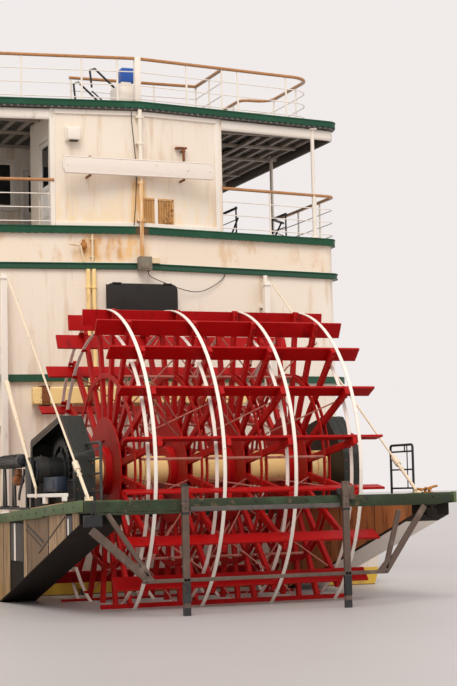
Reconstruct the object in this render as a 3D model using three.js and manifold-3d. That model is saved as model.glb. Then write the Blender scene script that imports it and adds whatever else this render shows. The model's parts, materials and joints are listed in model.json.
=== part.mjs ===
// Sternwheel riverboat, 1:2 scale model, millimetres, +Z up, +Y to the bow, +X to starboard.
// The flat bottom stands on z = 0, and the middle of the boat's length is y = 0.
import * as THREE from 'three';
import { mergeVertices } from 'three/addons/utils/BufferGeometryUtils.js';
import Module from 'manifold-3d';

const wasm = await Module();
wasm.setup();

// Driving dimensions
const halfLength = 11875;
const gap = 0.3;

// Paddle wheel: its axle is 2000 mm ahead of the aft end of the wheel guard.
const axle = { y: -halfLength + 2000, z: 1800 };
const wheel = {
  radius: 1600, halfLength: 1290, buckets: 20, firstBucketDeg: -9.65,
  bucketDepth: 160, bucketThick: 22, armWidth: 72, armThick: 44, armTip: 1612,
  hoopWide: 35, hoopGap: 9.5, hoopThick: 12, innerHoop: 1375, hoopDepth: 44,
  ringRadius: 944, ringDepth: 46, hubRadius: 500,
  shaftRadius: 139, shaftHalf: 1745, frames: [-980, -308, 308, 980],
  sprocketX: 1444, sprocketRadius: 345, sprocketThick: 44,
};

// Hull: stations from the stern to the stem.
const hull = {
  deckZ: 1305, chineRise: 150, wellHalf: 1440, wellEnd: axle.y + 1680, transomY: axle.y + 1150,
  // y, half beam at the deck, half beam at the chine, height of the bottom
  stations: [
    [axle.y + 1150, 2590, 2500, 466],
    [axle.y + 2845, 2590, 2500, 0],
    [5200, 2590, 2500, 0],
    [7600, 2430, 2180, 0],
    [9400, 1930, 1480, 60],
    [10700, 1180, 690, 330],
    [11775, 260, 110, 900],
  ],
};

// Decks: heights of the upper faces, depth of the green edge, half beam, how far aft of the
// bulkhead the edge stands, and where the deck ends towards the bow.
const decks = {
  main: { top: 1375, depth: 70, half: 2690 },
  second: { top: 2893, depth: 80, half: 2688, proud: 50, front: 6900 },
  ledge: { top: 4136, depth: 70, half: 2636, proud: 25, front: 6050 },
  third: { top: 4550, depth: 80, half: 2606, proud: 25, front: 6300 },
  top: { top: 5971, depth: 90, half: 2635, proud: 60, front: 6400 },
};
const corner = 140;

// The aft bulkhead is a shallow V in plan, its apex aft on the centre line.
const bulkhead = { apexY: axle.y + 1744, sweep: Math.tan(THREE.MathUtils.degToRad(7.9)) };
const wall = { half: 2578, thick: 60, lowerFront: 6200, upperFront: 5500 };
const sideStart = bulkhead.apexY + bulkhead.sweep * wall.half + corner;
const belt = { half: 2580, proud: -10, front: 5980, round: 480 };

// Windows: first y, step, count, width, sill above the deck, height
const lowerWindows = { first: -7150, step: 1120, count: 12, width: 820, sill: 560, height: 580 };
const upperWindows = { first: -7150, step: 1120, count: 11, width: 820, sill: 420, height: 560 };
const boardingDoor = { y: 5330, width: 600, height: 1080, thick: 36 };

const aftHouse = { port: -960, starboard: 1056, front: -7000, thick: 50 };
const cabin = { half: 1850, aft: -5900, front: 5200, thick: 50, first: -5400, step: 1480, count: 7 };
const cabinPane = { sill: 560, height: 560, sideWidth: 1000, endWidth: 760 };
const pilothouse = { half: 1150, aft: 2500, front: 4600, thick: 45, height: 1120 };
// Hinged doors: where the opening starts along its wall, its width and its height above the sill
const hinged = { width: 430, height: 1000, sill: 30, thick: 30, play: 6 };
const aftDoor = { y: -7820 };
const pilotDoor = { y: 2800 };
const cabinDoor = { x: -760 };
const upperDoor = { x: 300 };

// Stairs: the upper one climbs to port inside the aft house, the lower one goes down forward
const upperStair = { x0: -450, x1: 1000, y0: -7830, y1: -7090, run: 1430 };
const lowerStair = { x0: 1530, x1: 2170, y0: -7200, y1: -5950, run: 1230 };
const stair = { inset: 35, string: 30, steps: 7, depth: 150, tread: 110, treadThick: 22 };

// Railings. The top deck's rail steps inboard ahead of jogY, and its stair rail encloses the hatch.
const railing = { height: 536, post: 26, rail: 34, step: 1700 };
const topRail = {
  aftInset: 80, half: 2300, aftRound: 270, jogY: -6560, forwardHalf: 1900, frontInset: 133, staff: 70,
  stairX: 1110, stairY: -7050, stairEnd: -490,
};
// The third deck's rail stands at the deck's edge, with an opening in it to starboard.
const sideRail = { inset: 21, round: 120, openAft: -6250, openFront: -4300 };
const header = { depth: 130, thick: 50, inset: 45, aftInset: 70 };
const stanchion = {
  half: 30, cornerX: 2300, sideX: 2492, sideY: [-6110, -4300, -2300, -300, 1700, 3700, 5500],
};

const guard = { thick: 110, hangThick: 42 };
guard.y = -halfLength + guard.hangThick + guard.thick + gap;
const arm = { inner: 1440, outer: 1820, aft: guard.y, rise: 137 };

function paint(color, roughness = 0.6, metalness = 0) {
  return new THREE.MeshStandardMaterial({ color, roughness, metalness });
}

const white = paint(0xe9e3d6);
const cream = paint(0xdcc58f);
const green = paint(0x1f6048);
const red = paint(0xc41414, 0.45);
const grey = paint(0x5b6266, 0.7);
const dark = paint(0x24282a, 0.7);
const wood = paint(0xb0763a, 0.5);
const bottom = paint(0x6b5a45, 0.8);

const group = new THREE.Group();

function place(name, geometry, material) {
  geometry.computeVertexNormals();
  const mesh = new THREE.Mesh(geometry, material);
  mesh.name = name;
  group.add(mesh);
  return mesh;
}

// Corners shared between faces, merged while the shape is still at the origin
function weld(geometry) {
  geometry.deleteAttribute('normal');
  geometry.deleteAttribute('uv');
  return mergeVertices(geometry, 1e-3);
}

// Booleans
function solid(geometry) {
  return new wasm.Manifold(new wasm.Mesh({
    numProp: 3,
    vertProperties: new Float32Array(geometry.attributes.position.array),
    triVerts: new Uint32Array(geometry.index.array),
  }));
}

function surface(body) {
  const mesh = body.getMesh();
  const geometry = new THREE.BufferGeometry();
  geometry.setAttribute('position', new THREE.BufferAttribute(mesh.vertProperties, 3));
  geometry.setIndex(new THREE.BufferAttribute(mesh.triVerts, 1));
  return geometry;
}

function join(...geometries) {
  return surface(geometries.flat().map(solid).reduce((all, next) => all.add(next)));
}

function cut(geometry, ...tools) {
  return surface(tools.flat().map(solid).reduce((left, tool) => left.subtract(tool), solid(geometry)));
}

// Basic shapes, each given by where it ends
function box(x0, x1, y0, y1, z0, z1) {
  const geometry = weld(new THREE.BoxGeometry(x1 - x0, y1 - y0, z1 - z0));
  return geometry.translate((x0 + x1) / 2, (y0 + y1) / 2, (z0 + z1) / 2);
}

function flatShape(points, holes = []) {
  const shape = new THREE.Shape(points.map(([a, b]) => new THREE.Vector2(a, b)));
  for (const hole of holes) {
    shape.holes.push(new THREE.Path(hole.map(([a, b]) => new THREE.Vector2(a, b))));
  }
  return shape;
}

function extrude(points, holes, depth) {
  return weld(new THREE.ExtrudeGeometry(flatShape(points, holes), { depth, bevelEnabled: false }));
}

// An outline in (x, y), raised along z
function slab(points, z0, z1, holes) {
  return extrude(points, holes, z1 - z0).translate(0, 0, z0);
}

// An outline in (y, z), run along x
function plate(points, x0, x1, holes) {
  const geometry = extrude(points, holes, x1 - x0);
  geometry.applyMatrix4(new THREE.Matrix4().set(0, 0, 1, x0, 1, 0, 0, 0, 0, 1, 0, 0, 0, 0, 0, 1));
  return geometry;
}

// An outline in (x, z), run along y
function screen(points, y0, y1, holes) {
  const geometry = extrude(points, holes, y1 - y0);
  return geometry.rotateX(Math.PI / 2).translate(0, y1, 0);
}

function rectangle(a0, a1, b0, b1) {
  return [[a0, b0], [a1, b0], [a1, b1], [a0, b1]];
}

// A bar or rod from one point to another; its depth lies along y, or along z on a bar that runs with y
function along(geometry, from, to) {
  const way = new THREE.Vector3().subVectors(to, from).normalize();
  const deep = Math.abs(way.y) < 0.9 ? at(0, 1, 0) : at(0, 0, 1);
  const wide = new THREE.Vector3().crossVectors(way, deep).normalize();
  deep.crossVectors(wide, way);
  const middle = from.clone().add(to).multiplyScalar(0.5);
  geometry.applyMatrix4(new THREE.Matrix4().makeBasis(wide, way, deep).setPosition(middle));
  return geometry;
}

function rod(from, to, radius, sides = 8) {
  return along(weld(new THREE.CylinderGeometry(radius, radius, from.distanceTo(to), sides)), from, to);
}

function bar(from, to, wide, deep) {
  return along(weld(new THREE.BoxGeometry(wide, from.distanceTo(to), deep)), from, to);
}

function drum(x0, x1, y, z, radius, sides = 24) {
  const geometry = weld(new THREE.CylinderGeometry(radius, radius, x1 - x0, sides));
  return geometry.rotateZ(Math.PI / 2).translate((x0 + x1) / 2, y, z);
}

const at = (x, y, z) => new THREE.Vector3(x, y, z);

// Corners given as [x, y, radius], with round ones as arcs
function rounded(corners, steps = 4) {
  return corners.flatMap(([x, y, radius = 0], i) => {
    if (!radius) return [[x, y]];
    const here = new THREE.Vector2(x, y);
    const [ax, ay] = corners[(i + corners.length - 1) % corners.length];
    const [bx, by] = corners[(i + 1) % corners.length];
    const back = new THREE.Vector2(ax, ay).sub(here).normalize();
    const on = new THREE.Vector2(bx, by).sub(here).normalize();
    const half = Math.acos(back.dot(on)) / 2;
    const centre = here.clone().add(back.clone().add(on).setLength(radius / Math.sin(half)));
    const start = here.clone().addScaledVector(back, radius / Math.tan(half)).sub(centre);
    const end = here.clone().addScaledVector(on, radius / Math.tan(half)).sub(centre);
    const sweep = Math.atan2(start.cross(end), start.dot(end));
    return Array.from({ length: steps + 1 }, (_, k) => {
      const spoke = start.clone().rotateAround(new THREE.Vector2(), sweep * k / steps);
      return [centre.x + spoke.x, centre.y + spoke.y];
    });
  });
}

// The aft edge of a deck or wall: how far out, how far aft of the bulkhead, and its corner
function sternEdge(half, proud, radius, forward) {
  const apex = bulkhead.apexY - proud;
  const swept = apex + bulkhead.sweep * half;
  return [[-half, forward], [-half, swept, radius], [0, apex], [half, swept, radius], [half, forward]];
}

const bulkheadY = (x, proud = 0) => bulkhead.apexY - proud + bulkhead.sweep * Math.abs(x);

// Hull
function loft(sections) {
  const count = sections[0].length;
  const positions = sections.flat(2);
  const index = [];
  for (let s = 0; s + 1 < sections.length; s += 1) {
    for (let i = 0; i < count; i += 1) {
      const a = s * count + i;
      const b = s * count + (i + 1) % count;
      index.push(a, b, a + count, b, b + count, a + count);
    }
  }
  const last = (sections.length - 1) * count;
  for (let i = 1; i + 1 < count; i += 1) {
    index.push(0, i + 1, i, last, last + i, last + i + 1);
  }
  const geometry = new THREE.BufferGeometry();
  geometry.setAttribute('position', new THREE.Float32BufferAttribute(positions, 3));
  geometry.setIndex(index);
  return geometry;
}

function hullBody() {
  const sections = hull.stations.map(([y, deckHalf, chineHalf, low]) => [
    [-deckHalf, y, hull.deckZ], [deckHalf, y, hull.deckZ],
    [chineHalf + 50, y, low + hull.chineRise], [chineHalf, y, low],
    [-chineHalf, y, low], [-chineHalf - 50, y, low + hull.chineRise],
  ]);
  const well = box(-hull.wellHalf, hull.wellHalf, hull.transomY - 100, hull.wellEnd, -100, 2000);
  const lugs = [-1, 1].map((side) => {
    const x = side * rudder.x;
    return box(x - 45, x + 45, rudder.y - 40, hull.wellEnd + 60, rudder.lugZ, rudder.lugZ + 50);
  });
  return join(cut(loft(sections), well), lugs);
}

// Main deck outline at the bow, from the hull's stations
function bowOutline(extra) {
  const ahead = hull.stations.filter(([y]) => y > 5000);
  const starboard = ahead.map(([y, half]) => [half + extra, y + (y > 11000 ? extra : 0)]);
  return [...starboard, ...starboard.toReversed().map(([x, y]) => [-x, y])];
}

const rudder = { x: 780, y: axle.y + 1600, lugZ: 560, stock: 22, fore: 70, aft: 430, low: 60, high: 430 };

place('hull', hullBody(), bottom);

const mainExtra = decks.main.half - hull.stations[0][1];
place('main_deck', slab([
  [-decks.main.half, hull.transomY], [-hull.wellHalf, hull.transomY],
  [-hull.wellHalf, hull.wellEnd], [hull.wellHalf, hull.wellEnd],
  [hull.wellHalf, hull.transomY], [decks.main.half, hull.transomY],
  ...bowOutline(mainExtra),
], hull.deckZ + gap, decks.main.top), green);

// Arms that carry the wheel, raked underneath like the stern
for (const [name, side] of [['port', -1], ['starboard', 1]]) {
  const x0 = side < 0 ? -arm.outer : arm.inner;
  const forward = hull.transomY - gap;
  const profile = [
    [arm.aft, decks.main.top + arm.rise - 205], [forward, 466],
    [forward, decks.main.top], [arm.aft, decks.main.top + arm.rise],
  ];
  place(`wheel_arm_${name}`, plate(profile, x0, x0 + arm.outer - arm.inner), bottom);
}

// Houses on the main and second decks
function sternWall(half, proud, z0, z1, forward) {
  const outer = rounded(sternEdge(half, proud, corner, forward));
  const inner = rounded(sternEdge(half - wall.thick, proud - wall.thick, corner - wall.thick, forward));
  return slab([...outer, ...inner.toReversed()], z0, z1);
}

function windowRow({ first, step, count, width, sill, height }, floor, skip = () => false) {
  return Array.from({ length: count }, (_, k) => first + k * step)
    .filter((y) => !skip(y + width / 2))
    .map((y) => box(-3000, 3000, y, y + width, floor + sill, floor + sill + height));
}

function sideWall(side, y1, z0, z1, holes) {
  const x0 = side < 0 ? -wall.half : wall.half - wall.thick;
  return cut(box(x0, x0 + wall.thick, sideStart + gap, y1, z0, z1), holes);
}

function frontWall(y, z0, z1, floor, centres, doors = []) {
  const pane = { half: 380, sill: 480, height: 600 };
  const holes = centres.map((x) => box(
    x - pane.half, x + pane.half, y - 100, y + 200, floor + pane.sill, floor + pane.sill + pane.height,
  ));
  return cut(box(-wall.half, wall.half, y, y + wall.thick, z0, z1), holes, doors);
}

// The opening for a hinged door, as a box that passes through the wall
const openSpan = (start) => [start, start + hinged.width];
const openHeight = (floor) => [floor + hinged.sill, floor + hinged.sill + hinged.height];

const lowerZ = [decks.main.top + gap, decks.second.top - decks.second.depth - gap];
const upperZ = [decks.second.top + gap, decks.ledge.top - decks.ledge.depth - gap];
const doorHole = box(
  -3000, 3000, boardingDoor.y - boardingDoor.width / 2 + 20, boardingDoor.y + boardingDoor.width / 2 - 20,
  decks.main.top + 40, decks.main.top + boardingDoor.height - 20,
);
const nearDoor = (y) => Math.abs(y - boardingDoor.y) < 800;

place('lower_transom', sternWall(wall.half, 0, ...lowerZ, sideStart), white);
place('upper_transom', cut(
  sternWall(wall.half, 0, ...upperZ, sideStart),
  box(-400, 400, bulkhead.apexY - 100, bulkhead.apexY + 300, 3400, 3900),
), white);
for (const [name, side] of [['port', -1], ['starboard', 1]]) {
  place(`lower_wall_${name}`, sideWall(side, wall.lowerFront - gap, ...lowerZ,
    [...windowRow(lowerWindows, decks.main.top, nearDoor), doorHole]), white);
  place(`upper_wall_${name}`, sideWall(side, wall.upperFront - gap, ...upperZ,
    windowRow(upperWindows, decks.second.top)), white);
}
// Middles of the front windows, across the boat
const lowerFrontPanes = [-2060, -1030, 0, 1030, 2060];
const upperFrontPanes = [-2060, -1030, -80, 1250, 2120];
const upperDoorHole = box(
  ...openSpan(upperDoor.x), wall.upperFront - 100, wall.upperFront + 200, ...openHeight(decks.second.top),
);
place('lower_wall_front', frontWall(wall.lowerFront, ...lowerZ, decks.main.top, lowerFrontPanes), white);
place('upper_wall_front', frontWall(
  wall.upperFront, ...upperZ, decks.second.top, upperFrontPanes, [upperDoorHole],
), white);

// Decks above, each a slab with its own green edge
function deckSlab({ top, depth, half, proud, front }, holes) {
  return slab(rounded([
    ...sternEdge(half, proud, corner, front - 600).slice(1, 4), [half, front, 500], [-half, front, 500],
  ]), top - depth, top, holes);
}

place('second_deck', deckSlab(decks.second), green);
const wellHole = rectangle(lowerStair.x0, lowerStair.x1, lowerStair.y0, lowerStair.y1);
place('upper_ceiling', deckSlab(decks.ledge, [wellHole]), green);
place('third_deck', deckSlab(decks.third, [wellHole]), green);

function beltLine(inset) {
  const half = belt.half - inset;
  const front = belt.front - inset;
  return rounded([
    ...sternEdge(half, belt.proud - inset, corner - inset, 0).slice(1, 4),
    [half, front, belt.round - inset], [-half, front, belt.round - inset],
  ]);
}
const beltZ = [decks.ledge.top + gap, decks.third.top - decks.third.depth - gap];
place('belt', slab(beltLine(0), ...beltZ, [beltLine(wall.thick)]), white);

place('top_deck', deckSlab(decks.top, [
  rectangle(upperStair.x0, upperStair.x1, upperStair.y0, upperStair.y1),
]), green);

// Third deck: the house aft, the cabin ahead of it
const thirdZ = [decks.third.top + gap, decks.top.top - decks.top.depth - gap];

function aftHouseBody() {
  const t = aftHouse.thick;
  const outline = (inset) => {
    const port = aftHouse.port + inset;
    const starboard = aftHouse.starboard - inset;
    return [
      [port, bulkheadY(port) + inset], [0, bulkhead.apexY + inset],
      [starboard, bulkheadY(starboard) + inset], [starboard, aftHouse.front - inset],
      [port, aftHouse.front - inset],
    ];
  };
  const high = openHeight(decks.third.top);
  const door = box(aftHouse.port - 50, aftHouse.port + 100, ...openSpan(aftDoor.y), ...high);
  const stairWay = box(
    aftHouse.starboard - 100, aftHouse.starboard + 50, upperStair.y0 + 30, upperStair.y1 - 30, ...high,
  );
  return cut(slab(outline(0), ...thirdZ, [outline(t)]), door, stairWay);
}
place('aft_house', aftHouseBody(), white);

function cabinBody() {
  const t = cabin.thick;
  const ring = slab(rectangle(-cabin.half, cabin.half, cabin.aft, cabin.front), ...thirdZ,
    [rectangle(t - cabin.half, cabin.half - t, cabin.aft + t, cabin.front - t)]);
  const low = decks.third.top + cabinPane.sill;
  const high = low + cabinPane.height;
  const panes = Array.from({ length: cabin.count }, (_, k) => {
    const y = cabin.first + k * cabin.step;
    return box(-3000, 3000, y, y + cabinPane.sideWidth, low, high);
  });
  const ends = [
    [-1150, cabin.front], [0, cabin.front], [1150, cabin.front],
    [-1270, cabin.aft], [300, cabin.aft], [1270, cabin.aft],
  ].map(([x, y]) => {
    const side = cabinPane.endWidth / 2;
    return box(x - side, x + side, y - 100, y + 100, low, high);
  });
  const doorHigh = openHeight(decks.third.top);
  const door = box(...openSpan(cabinDoor.x), cabin.aft - 100, cabin.aft + 100, ...doorHigh);
  return cut(ring, panes, ends, door);
}
place('third_cabin', cabinBody(), white);

// Pilothouse on the top deck
function pilothouseBody() {
  const t = pilothouse.thick;
  const { half, aft, front } = pilothouse;
  const z0 = decks.top.top + gap;
  const ring = slab(rectangle(-half, half, aft, front), z0, z0 + pilothouse.height,
    [rectangle(t - half, half - t, aft + t, front - t)]);
  const low = z0 + 440;
  const panes = [3320, 3960].map((y) => box(-3000, 3000, y, y + 520, low, low + 480));
  const ends = [-740, 0, 740].map((x) => box(x - 310, x + 310, aft - 100, front + 100, low, low + 480));
  const door = box(-half - 50, -half + 100, ...openSpan(pilotDoor.y), ...openHeight(decks.top.top));
  return cut(ring, panes, ends, door);
}
place('pilothouse', pilothouseBody(), white);
const pilotTop = decks.top.top + 2 * gap + pilothouse.height;
const pilotRoof = { half: pilothouse.half + 160, aft: pilothouse.aft - 160, front: pilothouse.front + 220 };
place('pilothouse_roof', slab(rounded([
  [-pilotRoof.half, pilotRoof.aft, 120], [pilotRoof.half, pilotRoof.aft, 120],
  [pilotRoof.half, pilotRoof.front, 120], [-pilotRoof.half, pilotRoof.front, 120],
]), pilotTop, pilotTop + 70), green);

// Railings: a top rail, a middle rail and posts at even steps. lineAt gives the rail's line in plan
// at an inset from its own middle line.
function railParts(lineAt, floor, { closed = false, step = railing.step, keep = () => true } = {}) {
  const half = railing.rail / 2;
  const outline = closed ? lineAt(-half) : [...lineAt(-half), ...lineAt(half).toReversed()];
  const holes = closed ? [lineAt(half)] : [];
  const bands = [railing.height, railing.height / 2]
    .map((z) => slab(outline, floor + z - railing.rail, floor + z, holes));
  const posts = postStops(lineAt(0), closed, step).filter(keep).map(([x, y]) => {
    const side = railing.post / 2;
    return box(x - side, x + side, y - side, y + side, floor + gap, floor + railing.height - 5);
  });
  return [...bands, ...posts];
}

function postStops(line, closed, step) {
  const stops = (closed ? [...line, line[0]] : line).map(([x, y]) => at(x, y, 0));
  const lengths = stops.slice(1).map((stop, i) => stop.distanceTo(stops[i]));
  const total = lengths.reduce((sum, length) => sum + length, 0);
  const count = Math.round(total / step);
  return Array.from({ length: closed ? count : count + 1 }, (_, k) => {
    let left = Math.min(total - 20, Math.max(20, total * k / count));
    let i = 0;
    while (left > lengths[i]) {
      left -= lengths[i];
      i += 1;
    }
    const point = stops[i].clone().lerp(stops[i + 1], left / lengths[i]);
    return [point.x, point.y];
  });
}

const topRailY = (x, inset = 0) => bulkheadY(x, decks.top.proud - topRail.aftInset - inset);
function topLine(inset) {
  const out = topRail.half - inset;
  const near = topRail.forwardHalf - inset;
  const jog = topRail.jogY - inset;
  const ahead = decks.top.front - topRail.frontInset - inset;
  const starboard = [
    [out, topRailY(out, inset), topRail.aftRound - inset], [out, jog, 190 - inset],
    [near, jog, 120 + inset], [near, ahead, 400 - inset],
  ];
  const port = starboard.toReversed().map(([x, y, r]) => [-x, y, r]);
  return rounded([[0, topRailY(0, inset)], ...starboard, ...port], 3);
}
function stairRailLine(inset) {
  return [
    [topRail.stairX - inset, topRailY(topRail.stairX) + 5],
    [topRail.stairX - inset, topRail.stairY - inset], [topRail.stairEnd, topRail.stairY - inset],
  ];
}
const aheadOfRail = ([, y]) => y > topRailY(topRail.stairX) + 200;
const staffHalf = topRail.staff / 2;
place('top_rail', join(
  railParts(topLine, decks.top.top, { closed: true }),
  railParts(stairRailLine, decks.top.top, { step: 820, keep: aheadOfRail }),
  box(-staffHalf, staffHalf, topRailY(0) - staffHalf, topRailY(0) + staffHalf,
    decks.top.top + gap, decks.top.top + railing.height - 8),
), wood);

// Third deck rails run from the aft house round the corner to the bow, with the stanchions
// that carry the top deck and the header under its edge.
const railX = decks.third.half - sideRail.inset;
const railProud = decks.third.proud - sideRail.inset;
const ceilingZ = decks.top.top - decks.top.depth - gap;
for (const [name, side] of [['port', -1], ['starboard', 1]]) {
  const start = (side < 0 ? -aftHouse.port : aftHouse.starboard) + 3;
  const aftCorner = (inset) => [
    [side * start, bulkheadY(start, railProud - inset)],
    [side * (railX - inset), bulkheadY(railX - inset, railProud - inset), sideRail.round - inset],
  ];
  const frontCorner = (inset) => {
    const ahead = decks.third.front - 60 - inset;
    return [[side * (railX - inset), ahead, 400 - inset], [side * 20, ahead]];
  };
  const whole = (inset) => rounded([...aftCorner(inset), ...frontCorner(inset)], 3);
  const aft = (inset) => rounded([
    ...aftCorner(inset), [side * (railX - inset), sideRail.openAft - inset],
    [side * stanchion.sideX, stanchion.sideY[0] - inset],
  ], 3);
  const front = (inset) => rounded([
    [side * stanchion.sideX, sideRail.openFront + inset],
    [side * (railX - inset), sideRail.openFront + inset], ...frontCorner(inset),
  ], 3);
  const headerLine = (inset) => {
    const out = decks.top.half - header.inset - inset;
    const aftward = decks.top.proud - header.aftInset - inset;
    const ahead = decks.third.front - 60 - inset;
    return rounded([
      [side * start, bulkheadY(start, aftward)],
      [side * out, bulkheadY(out, aftward), corner - header.inset - inset],
      [side * out, ahead, 400 - inset], [side * 20, ahead],
    ], 3);
  };
  const stops = [
    [side * stanchion.cornerX, bulkheadY(stanchion.cornerX, railProud)],
    ...stanchion.sideY.map((y) => [side * stanchion.sideX, y]),
  ];
  const clear = ([x, y]) => stops.every(([a, b]) => Math.hypot(a - x, b - y) > 80);
  const lines = side < 0 ? [whole] : [aft, front];
  const parts = lines.flatMap((line) => railParts(line, decks.third.top, { keep: clear }));
  const reach = stanchion.half;
  for (const [x, y] of stops) {
    parts.push(box(x - reach, x + reach, y - reach, y + reach, decks.third.top + gap, ceilingZ));
  }
  // Arms from the stanchions out to the header
  const outer = decks.top.half - header.inset;
  for (const [, y] of stops.slice(1)) {
    const [x0, x1] = side < 0 ? [-outer, -stanchion.sideX] : [stanchion.sideX, outer];
    parts.push(box(x0, x1, y - reach / 2, y + reach / 2, ceilingZ - 60, ceilingZ - 5));
  }
  const beamOutline = [...headerLine(-header.thick / 2), ...headerLine(header.thick / 2).toReversed()];
  parts.push(slab(beamOutline, ceilingZ - header.depth, ceilingZ - 5));
  place(`third_rail_${name}`, join(parts), white);
}

// Bow: bulwark and capstan
const bowEdge = bowOutline(mainExtra - 40);
const bowInner = bowOutline(mainExtra - 40 - 45).map(([x, y]) => [x, Math.max(y, 5300)]);
const cutY = 6900;
const bulwark = cut(
  slab(bowEdge, decks.main.top + gap, decks.main.top + 520, [bowInner]),
  box(-4000, 4000, 0, cutY, 1000, 3000),
  bar(at(0, cutY - 400, 2490), at(0, 12500, 2800), 6000, 1400),
);
place('bow_bulwark', bulwark, white);
place('capstan', weld(new THREE.LatheGeometry([
  [0, 0], [170, 0], [170, 60], [95, 110], [80, 250], [130, 320], [130, 380], [0, 400],
].map(([r, z]) => new THREE.Vector2(r, z)), 16)).rotateX(Math.PI / 2)
  .translate(0, 9300, decks.main.top + gap), grey);

// The arms' top rises towards the stern
const armTop = (y) => decks.main.top + arm.rise * (hull.transomY - y) / (hull.transomY - arm.aft);

// King posts on the aft bulkhead, their tie rods and struts down to the arms
const king = { x: 1560, wide: 66, deep: 90, top: 3990 };
for (const [name, side] of [['port', -1], ['starboard', 1]]) {
  const x = side * king.x;
  const face = bulkheadY(x + side * king.wide / 2, decks.second.proud) - 22;
  place(`king_post_${name}`, box(x - king.wide / 2, x + king.wide / 2, face - king.deep, face,
    decks.main.top + 2 * gap, king.top), white);
  const head = face - king.deep;
  const eye = at(side * 1650, axle.y - 1560, armTop(axle.y - 1560) + 14);
  place(`tie_rod_${name}`, join(
    rod(at(x, head - 14, king.top - 70), eye, 11),
    box(x - 26, x + 26, head - 34, head - gap, king.top - 130, king.top - 20),
  ), white);
}

// Wheel guard behind the wheel: a beam across the arms and the frame that hangs from it
const beam = { x0: -arm.outer, x1: 1822, top: decks.main.top + arm.rise, deep: 107 };
place('guard_beam', box(
  beam.x0, beam.x1, guard.y - guard.thick, guard.y - gap, beam.top - beam.deep, beam.top,
), green);

const aftY = guard.y - guard.thick - gap;
const hang = {
  postX: [-893, 676], postWide: 64, top: 1640, low: 380, railZ: 800, railDeep: 33, railEnds: [-1300, 1085],
};
const hangY = aftY - guard.hangThick / 2;
const hangers = hang.postX.map((x) => box(
  x - hang.postWide / 2, x + hang.postWide / 2, aftY - guard.hangThick, aftY, hang.low, hang.top,
));
// x and z at the beam, x and z at the lower rail, width
const struts = [
  [-1810, 1290, -1255, 825, 76], [-1640, 1420, -1240, 850, 44],
  [1230, 1420, 1065, 830, 44], [1500, 1420, 1065, 800, 56],
].map(([x0, z0, x1, z1, wide]) => bar(
  at(x0, hangY, z0), at(x1, hangY, z1), wide, guard.hangThick - 8,
));
place('guard_frame', join(
  hangers, struts,
  box(...hang.railEnds, aftY - guard.hangThick, aftY,
    hang.railZ - hang.railDeep / 2, hang.railZ + hang.railDeep / 2),
), grey);

// Drives on the arms: bearing, chain case, gearbox and motor
const bearing = { x0: 1606, x1: 1712, radius: 150, reach: 230, plinth: 60, pedestal: 120 };
const chainCase = { x0: 1400, x1: 1600, skin: 12, rim: 70, aft: axle.y - 955, front: axle.y + 625 };
const motor = { x: 1790, aft: axle.y + 150, front: axle.y + 1120, z: axle.z + 115, radius: 70 };
const drive = {
  x0: 1750, x1: 1818, aft: axle.y - 110, gearFront: axle.y + 175, base: 25, legs: [560, 940],
};
// The starboard case and motor stand further forward than the port ones
for (const [name, side, forward] of [['port', -1, 0], ['starboard', 1, 500]]) {
  const span = (a, b) => (side < 0 ? [-b, -a] : [a, b]);
  const foot = (y0) => armTop(y0) + 2;
  const ringHole = drum(...span(1380, 2000), axle.y, axle.z, wheel.shaftRadius + 2);
  const bearingX = span(bearing.x0, bearing.x1);
  const sole = foot(axle.y - bearing.reach);
  place(`bearing_${name}`, cut(
    join(
      drum(...bearingX, axle.y, axle.z, bearing.radius),
      box(...bearingX, axle.y - bearing.reach, axle.y + bearing.reach, sole, sole + bearing.plinth),
      box(...bearingX, axle.y - bearing.pedestal, axle.y + bearing.pedestal, sole, axle.z),
    ),
    ringHole,
  ), grey);
  // The case's outline, the hollow inside it, which is open below, and the opening in its side
  const outline = (inset) => {
    const low = foot(chainCase.aft) - (inset ? 120 : 0);
    const [aft, front] = [chainCase.aft + inset + forward, chainCase.front - inset + forward];
    const ridge = axle.y - 455 + forward;
    return [
      [aft, low], [front, low], [front, axle.z + 325 - inset], [ridge, axle.z + 528 - inset],
      [ridge - 90 + inset / 2, axle.z + 524 - inset], [aft, axle.z + 140],
    ];
  };
  place(`chain_case_${name}`, cut(
    plate(outline(0), ...span(chainCase.x0, chainCase.x1)),
    plate(outline(chainCase.skin), ...span(chainCase.x0 + chainCase.skin, chainCase.x1 - chainCase.skin)),
    plate(outline(chainCase.rim), ...span(chainCase.x1 - 40, chainCase.x1 + 40)),
    ringHole,
  ), dark);
  const driveX = span(drive.x0, drive.x1);
  const [aft, front] = [drive.aft + forward, motor.front + forward];
  const base = foot(drive.aft);
  const legs = drive.legs.map((y) => box(
    ...driveX, axle.y + y + forward, axle.y + y + forward + 50, base, motor.z,
  ));
  place(`drive_${name}`, join(
    rod(
      at(side * motor.x, motor.aft + forward, motor.z), at(side * motor.x, front, motor.z), motor.radius, 20,
    ),
    box(...driveX, aft, front - 20, base, base + drive.base),
    box(...driveX, aft, drive.gearFront + forward, base, motor.z + 30),
    legs,
  ), dark);
}

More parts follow.
